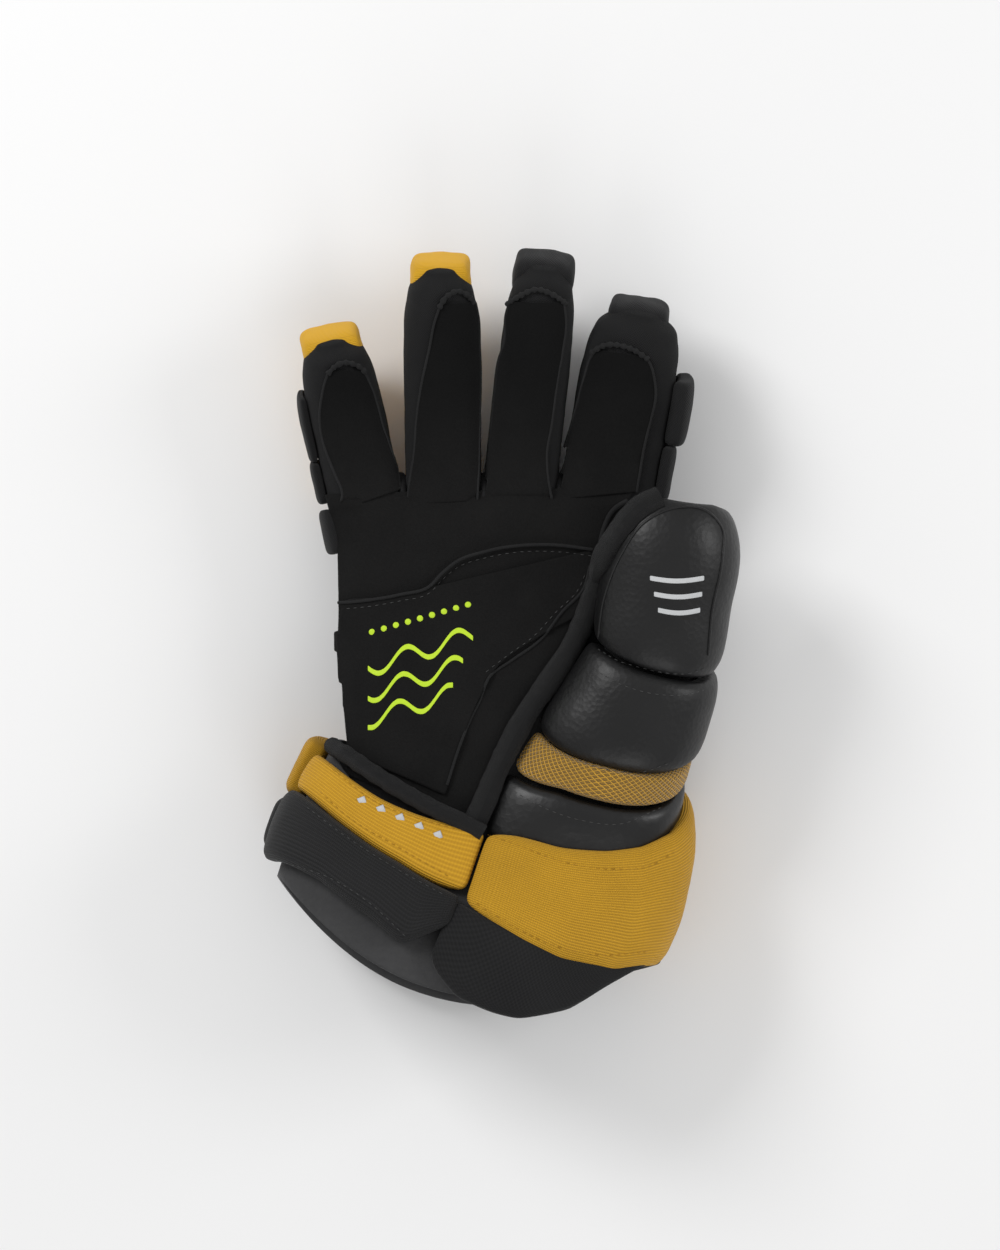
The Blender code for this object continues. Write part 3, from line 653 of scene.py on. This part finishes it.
# Name, low edge, high edge, share of the thickness, turns, material, slot.
THUMB_PADS = [
    ("thumb_base_pad", [(160, 0.03), (-60, 0.03)], [(160, 0.195), (110, 0.235), (-60, 0.245)], 0.9,
     (172, -60), GLOSS_LEATHER, "smooth_black"),
    ("thumb_mesh_band", [(160, 0.205), (110, 0.245), (-62, 0.255)],
     [(160, 0.305), (94, 0.325), (-62, 0.335)], 0.75, (172, -62), GOLD_NET, "gold_mesh"),
    ("thumb_lower_guard", [(162, 0.31), (94, 0.325), (-62, 0.34)],
     [(162, 0.575), (96, 0.56), (-62, 0.55)], 1.0, (174, -62), THUMB_LEATHER, "smooth_black"),
    ("thumb_tip_guard", [(164, 0.585), (96, 0.57), (-62, 0.56)],
     [(164, 0.95), (140, 0.99), (110, 1.02), (40, 1.03), (-62, 0.99)], 1.0,
     (172, -62), THUMB_LEATHER, "smooth_black"),
]
GUARDS = {}
for name, low, high, share, turns, material, slot in THUMB_PADS:
    shape = cushion(GUARD, turns, low, high, THUMB_THICK * share, cells=(48, 22, 5), soft=(5, 10),
                    crown=0.16, wrinkle=0.2 * MM)
    GUARDS[name] = add_cushion(name.replace("thumb", "thumb_cushion"), shape, material, [name])

# The cuff's pads: a ribbed gold band and a black pad on the palm's side, a wide wrap of the same
# two cloths that comes round from the back over the thumb's side, and thicker ones on the back.
# Name, turns, low edge, high edge, thickness, height it starts at, material, slot.
CUFF_PADS = [
    ("cuff_palm_band", (91.5, 176), [(91, 0.66), (110, 0.70), (131, 0.68), (176, 0.62)],
     [(91, 1.16), (108, 1.10), (128, 1.03), (164, 0.94), (176, 0.91)],
     8.5 * MM, 0.0, GOLD_BAND, "gold"),
    ("cuff_palm_pad", (92, 177),
     [(92, 0.40), (100, 0.20), (112, 0.25), (134, 0.23), (171, 0.08), (177, 0.1)],
     [(92, 0.645), (110, 0.69), (131, 0.67), (177, 0.60)], 11.5 * MM, 0.0, BLACK_RIB, "black_fabric"),
    ("cuff_lower_thumb", (93, -50),
     [(93, 0.15), (88, -0.02), (77, -0.10), (69, -0.14), (52, -0.12), (40, -0.02), (25, 0.08), (-50, 0.05)],
     [(93, 0.66), (90, 0.57), (78, 0.43), (64, 0.30), (40, 0.16), (11, 0.14), (-50, 0.26)],
     9.5 * MM, 0.0, BLACK_CLOTH, "black_fabric"),
    ("cuff_wrap_thumb", (91, -50),
     [(94, 0.62), (90, 0.52), (78, 0.38), (64, 0.24), (40, 0.09), (11, 0.07), (-50, 0.2)],
     [(91, 1.17), (73, 1.01), (55, 0.9), (39, 0.84), (21, 0.84), (0, 0.93), (-15, 0.99), (-50, 0.99)],
     9 * MM, 2.6 * MM, GOLD_WRAP, "gold"),
    ("cuff_wrap_back", (-53, -180), [(-53, 0.40), (-180, 0.55)], [(-53, 0.99), (-180, 0.97)],
     13 * MM, 0.0, GOLD_WRAP, "gold"),
    ("cuff_lower_back", (-53, -180), [(-53, 0.08), (-180, 0.16)], [(-53, 0.38), (-180, 0.53)],
     13 * MM, 0.0, BLACK_CLOTH, "black_fabric"),
]
BANDS = {}
for name, turns, low, high, thick, start, material, slot in CUFF_PADS:
    shape = cushion(CUFF, turns, low, high, thick, cells=(48, 22, 5), soft=(5, 12), crown=0.1,
                    start=start)
    BANDS[name] = add_cushion(name.replace("cuff", "cuff_cushion"), shape, material, [name])

# The rolls on the back: fat stuffed rolls across the hand and across each finger, of the black or
# the gold cloth, flat only where the glove lies on them.
BACK_ROLL = 18 * MM
FINGER_ROLL = 15 * MM
FINGER_CLOTH = {name: (BLACK_CLOTH, "black_fabric") for name in ("middle", "index")}
FINGER_CLOTH["little"] = FINGER_CLOTH["ring"] = (GOLD_CLOTH, "gold")
ROLL_ALONGS = [("low", 0.03, 0.31), ("middle", 0.335, 0.60), ("high", 0.625, 0.875)]
BACK_ROLLS = [
    ("knuckle", 0.79, 0.985, 204, 336), ("upper", 0.575, 0.775, 204, 334), ("middle", 0.36, 0.56, 206, 330),
    ("wrist", 0.20, 0.345, 208, 326),
]

for name, first, last, start, stop in BACK_ROLLS:
    shape = cushion(HAND, (start, stop), first, last, BACK_ROLL, down=True, cells=(36, 12, 6),
                    soft=(2.8, 7), wrinkle=0.9 * MM)
    add_cushion(f"back_cushion_{name}", shape, BLACK_CLOTH, [f"back_roll_{name}"])

for finger, *_ in FINGERS:
    material, slot = FINGER_CLOTH[finger]
    for number, (place, first, last) in enumerate(ROLL_ALONGS, 1):
        shape = cushion(TUBES[finger], (212, 328), first, last, FINGER_ROLL, down=True,
                        cells=(18, 12, 6), soft=(2.8, 5), wrinkle=0.7 * MM)
        add_cushion(f"roll_cushion_{finger}_{place}", shape, material, [f"roll_{finger}_{number}"])

# The side pads: small foam blocks under cloth on the outer sides of the index and little fingers.
SIDE_PAD = 8 * MM
SIDE_PADS = [
    ("index_side_pad", TUBES["index"], (-26, 30), (0.375, 0.72), 1.1),
    ("index_base_pad", TUBES["index"], (-26, 30), (0.03, 0.37), 0.7),
    ("little_side_pad", TUBES["little"], (154, 205), (0.33, 0.74), 0.5),
    ("little_low_pad", TUBES["little"], (154, 205), (0.02, 0.325), 0.55),
    ("little_base_pad", HAND, (160, 196), (0.84, 0.99), 0.65),
]
for name, tube, turns, (first, last), share in SIDE_PADS:
    shape = cushion(tube, turns, first, last, SIDE_PAD * share, cells=(14, 18, 5), soft=(8, 9),
                    wrinkle=0.3 * MM)
    add_cushion(name.replace("pad", "cushion"), shape, BLACK_CLOTH, [name])

# The fingertip caps: puffed cloth boxes behind the ends of the fingers, gold on two of them.
TIP_WIDTH = 28 * MM
TIP_LENGTH = 20 * MM
TIP_HEIGHT = 25 * MM
TIP_BACK = 6 * MM
TIP_DOWN = 8.5 * MM
for finger, *_ in FINGERS:
    material, slot = FINGER_CLOTH[finger]
    x, y, z, across, pitch = TUBES[finger].read(np.array([1.0]))[0][:5]
    turn = Matrix.Rotation(math.radians(across), 4, "Z") @ Matrix.Rotation(math.radians(pitch), 4, "X")
    shape = bmesh.new()
    bmesh.ops.create_cube(shape, size=2)
    bmesh.ops.subdivide_edges(shape, edges=shape.edges, cuts=13, use_grid_fill=True)
    uv = shape.loops.layers.uv.new("cloth")
    for face in shape.faces:
        for corner in face.loops:
            co = corner.vert.co
            corner[uv].uv = (co.x * TIP_WIDTH / 2, (co.y + co.z) * TIP_LENGTH / 2)
    for vert in shape.verts:
        co = vert.co
        flat = (abs(co.y) ** 3.4 + abs(co.z) ** 3.4) ** (1 / 3.4)
        co = co / (abs(co.x) ** 4.5 + flat ** 4.5) ** (1 / 4.5)
        fold = noise.noise(Vector((co.x * 2.2, co.y * 1.2, co.z * 1.2)) + Vector((x, y, z)) * 40)
        co = co * (1 + 0.07 * fold)
        vert.co = turn @ Vector((co.x * TIP_WIDTH / 2, co.y * TIP_LENGTH / 2 - TIP_BACK,
                                 co.z * TIP_HEIGHT / 2 - TIP_DOWN))
        vert.co += Vector((x, y, z))
    add_cushion(f"tip_cushion_{finger}", shape, material, [f"tip_cap_{finger}"])

# The webs: small saddles of the fabric that join the roots of neighbouring fingers.
WEB_SIZE = (4.2 * MM, 13 * MM, 13.5 * MM)
WEB_SIDE = 5 * MM
WEB_AHEAD = 3 * MM
gap_at = SHIFT[0] - KNUCKLE_WIDTH / 2
for number, (_, _, width, splay, _) in enumerate(FINGERS[:-1], 1):
    gap_at += width + FINGER_GAP
    lean = math.radians((splay + FINGERS[number][3]) / 2)
    shape = bmesh.new()
    bmesh.ops.create_icosphere(shape, subdivisions=4, radius=1)
    middle = Vector((gap_at - FINGER_GAP / 2 + math.sin(lean) * WEB_SIDE, SHIFT[1] + WEB_AHEAD,
                     SHIFT[2] + KNUCKLE_DEPTH / 2))
    bmesh.ops.scale(shape, vec=WEB_SIZE, verts=shape.verts)
    bmesh.ops.rotate(shape, cent=(0, 0, 0), matrix=Matrix.Rotation(-lean, 3, "Z"), verts=shape.verts)
    bmesh.ops.translate(shape, vec=middle, verts=shape.verts)
    add_piece(f"finger_web_{number}", shape, FABRIC, levels=0)

# The camera's pixels lead to points on the glove: a ray goes down through the pixel, and the
# highest of the named pieces that it meets carries the point.
PICTURE_WIDE = 1000
PICTURE_HIGH = 1250
PIXEL = camera.data.sensor_width / PICTURE_HIGH / camera.data.lens


def surfaces(*pieces_on):
    """The pieces' finished surfaces, for laying seams and panels on them."""
    bpy.context.view_layer.update()
    fresh = bpy.context.evaluated_depsgraph_get()
    return [BVHTree.FromObject(piece, fresh) for piece in pieces_on]


def drop(px, py, trees, lift):
    """The point that a pixel sees on these surfaces, raised a little, or None."""
    start = camera.location
    way = Vector(((px - PICTURE_WIDE / 2) * PIXEL, (PICTURE_HIGH / 2 - py) * PIXEL, -1)).normalized()
    best = None
    for tree in trees:
        place, normal, _, reach = tree.ray_cast(start, way)
        if place is not None and (best is None or reach < best[2]):
            best = (place, normal, reach)
    if best is None:
        return None
    normal = best[1] if best[1].z > 0 else -best[1]
    return best[0] + normal * lift


def smooth_line(stops, step):
    """Evenly spaced pixels on a smooth curve through these ones."""
    stops = np.array(stops, float)
    far = np.concatenate([[0], np.cumsum(np.linalg.norm(np.diff(stops, axis=0), axis=1))])
    slopes = np.gradient(stops, far, axis=0)
    found = []
    for here in np.linspace(0, far[-1], max(int(far[-1] / step), 3)):
        i = min(np.searchsorted(far, here, "right") - 1, len(far) - 2)
        gap = far[i + 1] - far[i]
        t = (here - far[i]) / gap
        found.append(stops[i] * (1 - t) ** 2 * (1 + 2 * t) + stops[i + 1] * t * t * (3 - 2 * t)
                     + slopes[i] * gap * t * (1 - t) ** 2 - slopes[i + 1] * gap * t * t * (1 - t))
    return np.array(found)


def laid(stops, trees, lift, step=2.0):
    """A line through these pixels, laid on the surfaces."""
    places = [drop(px, py, trees, lift) for px, py in smooth_line(stops, step)]
    return [place for place in places if place is not None]


def evened(places, rounds=3):
    """Takes the small jumps out of a line that crosses several pieces."""
    for _ in range(rounds):
        inner = [(a + b * 2 + c) / 4 for a, b, c in zip(places, places[1:], places[2:])]
        places = [places[0], *inner, places[-1]]
    return places


def piping(name, places, thickness, material, wave=0.0, pitch=4 * MM):
    """A rolled edge or a seam: a thin round bead along these points, waved where it is gathered."""
    line = bpy.data.curves.new(name, "CURVE")
    line.dimensions = "3D"
    line.bevel_depth = thickness / 2
    line.bevel_resolution = 3
    line.use_fill_caps = True
    path = line.splines.new("POLY")
    path.points.add(len(places) - 1)
    gone = 0
    for i, spot in enumerate(places):
        gone += (places[i] - places[i - 1]).length if i else 0
        swell = 1 + wave * math.sin(gone * math.tau / pitch + noise.noise(spot * 300) * 2)
        path.points[i].co = (*spot, 1)
        path.points[i].radius = swell
    piece = bpy.data.objects.new(name, line)
    GLOVE.objects.link(piece)
    line.materials.append(material)
    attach(piece, "root")
    return piece


STITCH_LENGTH = 2.2 * MM
STITCH_GAP = 1.3 * MM
STITCH_THICK = 0.45 * MM


def stitches(name, places, material):
    """A row of thread stitches, each a short capsule that dips into the cloth at both ends."""
    shape = bmesh.new()
    size = Matrix.Diagonal((STITCH_LENGTH / 2, STITCH_THICK / 2, STITCH_THICK / 2, 1))
    gone, due = 0.0, STITCH_GAP
    for a, b in zip(places, places[1:]):
        reach = (b - a).length
        while gone + reach >= due + STITCH_LENGTH / 2:
            middle = a.lerp(b, min(max((due + STITCH_LENGTH / 2 - gone) / max(reach, 1e-9), 0), 1))
            aim = (b - a).to_track_quat("X", "Z").to_matrix().to_4x4()
            spot = Matrix.Translation(middle) @ aim @ size
            bmesh.ops.create_icosphere(shape, subdivisions=1, radius=1, matrix=spot)
            due += STITCH_LENGTH + STITCH_GAP
        gone += reach
    return add_piece(name, shape, material, levels=0)


MATT = {"coat": 0.0, "rough": 0.6, "pebble": 900}
THREAD = leather("thread", (0.03, 0.03, 0.03), (0.06, 0.06, 0.06), **MATT)
GOLD_THREAD = leather("gold_thread", (0.30, 0.15, 0.01), (0.45, 0.24, 0.015), **MATT)
BINDING = speckled("binding", (0.009, 0.009, 0.0095), (0.024, 0.024, 0.024), size=1200, sheen=0.03)


TUCK_FROM = 0.93
WRINKLE = 34
SMALL_WRINKLE = 12


def patch(name, left_side, right_side, trees, lift, material, nodes, across, ahead,
          thickness=1.2 * MM, even=2, bridge=0, tuck=0.0, rumple=0.0):
    """A thin panel between two lines of pixels, laid on what is under it and smoothed a little.
    It spans cracks of up to twice bridge pixels, its far end goes down by tuck, and its wrinkles
    are about as high as rumple."""
    shape = bmesh.new()
    bmesh.ops.create_grid(shape, x_segments=across, y_segments=ahead, size=0.5)
    uv = shape.loops.layers.uv.new("cloth")
    near, far = smooth_line(left_side, 1.0), smooth_line(right_side, 1.0)
    for vert in shape.verts:
        s, t = vert.co.x + 0.5, vert.co.y + 0.5
        a = near[min(int(round(t * (len(near) - 1))), len(near) - 1)]
        b = far[min(int(round(t * (len(far) - 1))), len(far) - 1)]
        px, py = a + (b - a) * s
        found = drop(px, py, trees, lift)
        beside = [drop(px, py + move, trees, lift) for move in (-bridge, bridge)] if bridge else []
        beside = [spot for spot in beside if spot]
        if found is None and len(beside) == 2:
            found = (beside[0] + beside[1]) / 2
        if found is not None and beside:
            found.z = max([found.z, *[spot.z for spot in beside]])
        if found is not None and rumple:
            coarse = noise.noise(Vector((px, py, 0)) / WRINKLE)
            fine = noise.noise(Vector((px, py, 9)) / SMALL_WRINKLE)
            found.z += rumple * (coarse + 0.5 * fine)
        if found is not None:
            found.z -= tuck * min(max((t - TUCK_FROM) / (1 - TUCK_FROM), 0), 1)
        vert.co = found or Vector((0, 0, -1))
    bmesh.ops.delete(shape, geom=[v for v in shape.verts if v.co.z < -0.5], context="VERTS")
    for face in shape.faces:
        for corner in face.loops:
            corner[uv].uv = corner.vert.co.xy
    bmesh.ops.recalc_face_normals(shape, faces=shape.faces)
    if sum(face.normal.z for face in shape.faces) < 0:
        bmesh.ops.reverse_faces(shape, faces=shape.faces)
    for _ in range(even):
        bmesh.ops.smooth_vert(shape, verts=shape.verts, factor=0.5, use_axis_x=False, use_axis_y=False,
                              use_axis_z=True)
    return thicken(add_piece(name, shape, material, nodes), thickness)


# The fingers' suede panels: each runs up the gripping side of a finger from the knuckles, and is
# gathered into a rolled, puckered binding at its top. Places on the palm are pixels.
PANELS = {
    "little": (
        [(340, 510), (343, 493), (336, 474), (326, 446), (321, 418), (322, 400), (327, 377), (330, 370)],
        [(398, 490), (394, 466), (387, 445), (380, 424), (374, 400), (369, 385), (365, 376), (362, 371)]),
    "ring": (
        [(409, 513), (412, 479), (415, 457), (419, 407), (424, 374), (430, 346), (434, 324), (441, 303)],
        [(475, 510), (476, 479), (477, 429), (478, 390), (478, 368), (477, 345), (476, 318), (473, 303)]),
    "middle": (
        [(482, 505), (487, 479), (493, 429), (497, 391), (501, 360), (507, 341), (508, 316), (512, 302)],
        [(551, 505), (547, 479), (546, 452), (550, 429), (557, 374), (562, 346), (564, 320), (562, 302)]),
    "index": (
        [(552, 500), (557, 479), (565, 454), (574, 424), (580, 402), (587, 374), (592, 358), (597, 350)],
        [(636, 492), (638, 480), (645, 440), (651, 415), (655, 396), (654, 380), (650, 364), (645, 356)]),
}
TOPS = {
    "little": [(328, 374), (336, 366), (346, 363), (356, 366), (364, 373)],
    "ring": [(439, 308), (446, 297), (457, 292), (466, 296), (471, 303)],
    "middle": [(510, 305), (520, 297), (536, 290), (551, 294), (565, 304)],
    "index": [(593, 353), (604, 346), (618, 345), (634, 350), (648, 359)],
}
for finger in PANELS:
    on = surfaces(STALLS[finger])
    near, far = PANELS[finger]
    patch(f"finger_suede_{finger}", near, far, on, 1.3 * MM, PANEL_SUEDE, [f"finger_panel_{finger}"],
          across=20, ahead=48, thickness=1.0 * MM, rumple=0.5 * MM)
    top = evened(laid(TOPS[finger], on, 1.5 * MM, step=1.2))
    piping(f"gathered_binding_{finger}", top, 2.2 * MM, BINDING, wave=0.28, pitch=3.2 * MM)
    for side, line in (("left", near), ("right", far)):
        edge = evened(laid(line, on, 1.3 * MM))
        piping(f"panel_seam_{finger}_{side}", edge, 1.2 * MM, BINDING)

# The palm: one sheet of suede from the knuckles to the wrist and out over the thumb's root. Each
# side runs from the wrist to the knuckles.
PALM_LEFT = [(352, 775), (345, 745), (341, 700), (338, 650), (338, 600), (337, 560), (335, 530), (331, 505),
             (328, 494)]
PALM_RIGHT = [(500, 845), (490, 800), (505, 765), (530, 725), (560, 680), (585, 640), (604, 580), (616, 545),
              (628, 500), (636, 488)]
webs = [bpy.data.objects[f"finger_web_{number}"] for number in (1, 2, 3)]
below = surfaces(hand, thumb, *STALLS.values(), *webs)
palm = patch("palm_suede", PALM_LEFT, PALM_RIGHT, below, 1.7 * MM, SUEDE, ["palm_leather"],
             across=66, ahead=84, even=4, bridge=5, tuck=1.6 * MM, rumple=0.9 * MM)

# The heel of the palm: a second layer of the suede, stitched down along its upper edge and along
# the thumb's root, where the palm wears most.
HEEL_TOP = [(340, 603), (355, 602), (400, 595), (428, 588), (444, 572), (458, 561), (485, 552), (520, 546),
            (560, 546), (592, 550)]
HEEL_LEFT = [(348, 752), (342, 700), (339, 650), (341, 604), (372, 599), (400, 595), (428, 588)]
HEEL_RIGHT = [(445, 795), (476, 705), (497, 667), (545, 633), (590, 602), (592, 575), (592, 550)]
STITCH_INSET = 6
on_palm = surfaces(palm, hand)
heel = patch("heel_suede", HEEL_LEFT, HEEL_RIGHT, on_palm, 1.5 * MM, SUEDE, ["heel_overlay"],
             across=40, ahead=56, rumple=0.3 * MM)
piping("heel_seam", evened(laid(HEEL_TOP, on_palm, 2.0 * MM)), 1.4 * MM, BINDING)
inset = [(x, y + STITCH_INSET) for x, y in HEEL_TOP]
stitches("heel_stitches", evened(laid(inset, surfaces(palm, heel), 0.15 * MM)), THREAD)

# The thumb's inner side: a padded edge of the black cloth that runs down beside the guards, and the
# seams where the palm's suede is pieced round the root of the thumb.
EDGE_MOVE = 5
ROLLED_EDGE = [(655, 499), (636, 508), (620, 525), (604, 550), (590, 590), (577, 625), (562, 655), (543, 683),
               (524, 710), (506, 742), (490, 775), (480, 800), (473, 815), (468, 826)]
GUARD_RIM = [(598, 640), (604, 600), (622, 553), (645, 522), (675, 508), (705, 510), (722, 528), (722, 560),
             (712, 610), (708, 655)]
PULL_EDGE = [(600, 560), (600, 545), (604, 528), (613, 510), (630, 500), (650, 497)]
PALM_SEAMS = [
    [(590, 566), (584, 588), (562, 612), (540, 640), (512, 660), (490, 676), (480, 700)],
    [(480, 700), (470, 720), (460, 745), (447, 785)],
    [(596, 560), (588, 580), (584, 600)],
]
ROOT_STITCHES = [(586, 572), (578, 590), (556, 612), (534, 636), (508, 655), (486, 672)]
on_thumb = surfaces(palm, hand, thumb, *GUARDS.values())
edge = evened(laid([(x + EDGE_MOVE, y) for x, y in ROLLED_EDGE], on_thumb, 0.8 * MM), rounds=14)
piping("thumb_rolled_edge", edge, 11 * MM, BLACK_CLOTH, wave=0.05, pitch=34 * MM)
rim = evened(laid(GUARD_RIM, surfaces(*GUARDS.values()), 0.1 * MM), rounds=6)
piping("tip_guard_rim", rim, 1.3 * MM, THUMB_LEATHER)
pull = evened(laid(PULL_EDGE, on_thumb, 0.3 * MM), rounds=6)
piping("thumb_pull_edge", pull, 2.2 * MM, BINDING)
on_palm = surfaces(palm, heel, hand)
for number, line in enumerate(PALM_SEAMS, 1):
    piping(f"palm_seam_{number}", evened(laid(line, on_palm, 0.2 * MM)), 1.3 * MM, BINDING)
stitches("thumb_root_stitches", evened(laid(ROOT_STITCHES, on_palm, 0.15 * MM)), THREAD)

# Rows of thread along the guards' and the bands' edges, where the covers are closed over foam.
SEAM_ROWS = {
    "tip_guard": [(596, 648), (620, 662), (650, 670), (690, 673), (706, 668)],
    "lower_guard_top": [(592, 668), (620, 684), (655, 694), (690, 694), (704, 690)],
    "lower_guard_low": [(545, 738), (570, 756), (600, 768), (640, 772), (672, 762)],
    "base_pad": [(512, 790), (540, 806), (580, 820), (620, 824), (660, 808)],
    "wrap_top": [(486, 834), (520, 846), (560, 861), (610, 869), (650, 866), (674, 852)],
    "wrap_low": [(474, 902), (510, 924), (550, 944), (600, 955), (645, 952)],
    "band_top": [(330, 768), (380, 804), (430, 822), (470, 832)],
    "band_low": [(318, 790), (350, 818), (400, 848), (448, 876)],
    "pad_low": [(284, 862), (330, 878), (372, 905), (404, 935)],
    "pad_top": [(305, 806), (345, 836), (395, 868), (446, 896)],
}
on_bands = surfaces(*GUARDS.values(), *BANDS.values())
for name, stops in SEAM_ROWS.items():
    row = evened(laid(stops, on_bands, 0.12 * MM))
    stitches(f"thread_{name}", row, GOLD_THREAD if name.startswith(("wrap", "band")) else THREAD)


def printed(name, line, half, trees, lift, ink, ahead, thickness):
    """A printed stroke along these pixels, which reaches half pixels to either side."""
    below, above = [(x, y + half) for x, y in line], [(x, y - half) for x, y in line]
    patch(name, below, above, trees, lift, ink, (), 4, ahead, thickness, even=0)


# The palm's print: a plain pattern of three waves and a row of dots in bright rubbery ink.
INK = {"coat": 0.0, "rough": 0.5, "pebble": 900}
PRINT = leather("bright_print", (0.42, 0.62, 0.02), (0.52, 0.72, 0.03), **INK)
on_heel = surfaces(heel, palm)
for number in range(3):
    base = 668 + number * 26
    wave = [(368 + i * 5, base - i * 1.6 + 9 * math.sin(i * 0.62 + number * 0.5))
            for i in range(22 - number * 2)]
    printed(f"print_wave_{number + 1}", wave, 2.6, on_heel, 0.25 * MM, PRINT, 90, 0.35 * MM)

# Pale bars on the thumb's guards and pale diamonds on the gold band, printed and plain.
PALE_PRINT = leather("pale_print", (0.42, 0.43, 0.44), (0.56, 0.57, 0.58), **INK)
BARS = [(650, 704, 578), (654, 702, 594), (658, 700, 610)]
for number, (near_x, far_x, level) in enumerate(BARS, 1):
    line = [(near_x + (far_x - near_x) * i / 8, level + 3 * math.sin(i / 8 * math.pi)) for i in range(9)]
    printed(f"guard_bar_{number}", line, 2.4, on_bands, 0.2 * MM, PALE_PRINT, 30, 0.3 * MM)
marks = bmesh.new()
for number in range(5):
    spot = drop(362 + number * 19, 801 + number * 8.6, on_bands, 0.05 * MM)
    if spot:
        place = Matrix.Translation(spot) @ Matrix.Rotation(math.radians(-24), 4, "Z")
        bmesh.ops.create_cone(marks, cap_ends=True, segments=4, radius1=2.6 * MM, radius2=2.2 * MM,
                              depth=0.5 * MM, matrix=place)
add_piece("band_diamonds", marks, PALE_PRINT, levels=0)

dots = bmesh.new()
for number in range(9):
    spot = drop(372 + number * 12, 632 - number * 3.4, on_heel, 0.05 * MM)
    if spot:
        place = Matrix.Translation(spot) @ Matrix.Diagonal((1.5 * MM, 1.5 * MM, 0.3 * MM, 1))
        bmesh.ops.create_icosphere(dots, subdivisions=2, radius=1, matrix=place)
add_piece("print_dots", dots, PRINT, levels=0)

# The roll where the palm meets the cuff: a bead of the black cloth over the end of the palm.
# Each place is the turn around the hand and the share along it.
WRIST_LINE = [(80, 0.060), (90, 0.068), (104, 0.078), (118, 0.088), (132, 0.098), (148, 0.110),
              (166, 0.115)]
turns, shares = np.array(WRIST_LINE).T
fine = np.linspace(turns[0], turns[-1], 50)
roll = [Vector(p) for p in HAND.points(fine, np.interp(fine, turns, shares), 8.4 * MM)]
wrist_bead = piping("wrist_bead", roll, 8 * MM, BLACK_CLOTH, wave=0.05, pitch=9 * MM)
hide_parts("wrist_roll")

# The floor: a plain pale sheet under the glove.
floor_shape = bmesh.new()
bmesh.ops.create_grid(floor_shape, x_segments=1, y_segments=1, size=3)
floor_mesh = bpy.data.meshes.new("floor")
floor_shape.to_mesh(floor_mesh)
floor_shape.free()
floor = bpy.data.objects.new("floor", floor_mesh)
bpy.context.scene.collection.objects.link(floor)
pale = bpy.data.materials.new("pale_floor")
pale.use_nodes = True
pale.node_tree.nodes["Principled BSDF"].inputs["Base Color"].default_value = (0.8, 0.8, 0.8, 1)
pale.node_tree.nodes["Principled BSDF"].inputs["Roughness"].default_value = 0.9
floor_mesh.materials.append(pale)

# Blender's starting objects go.
for spare in ("Cube", "Light", "Camera"):
    if spare in bpy.data.objects:
        bpy.data.objects.remove(bpy.data.objects[spare])
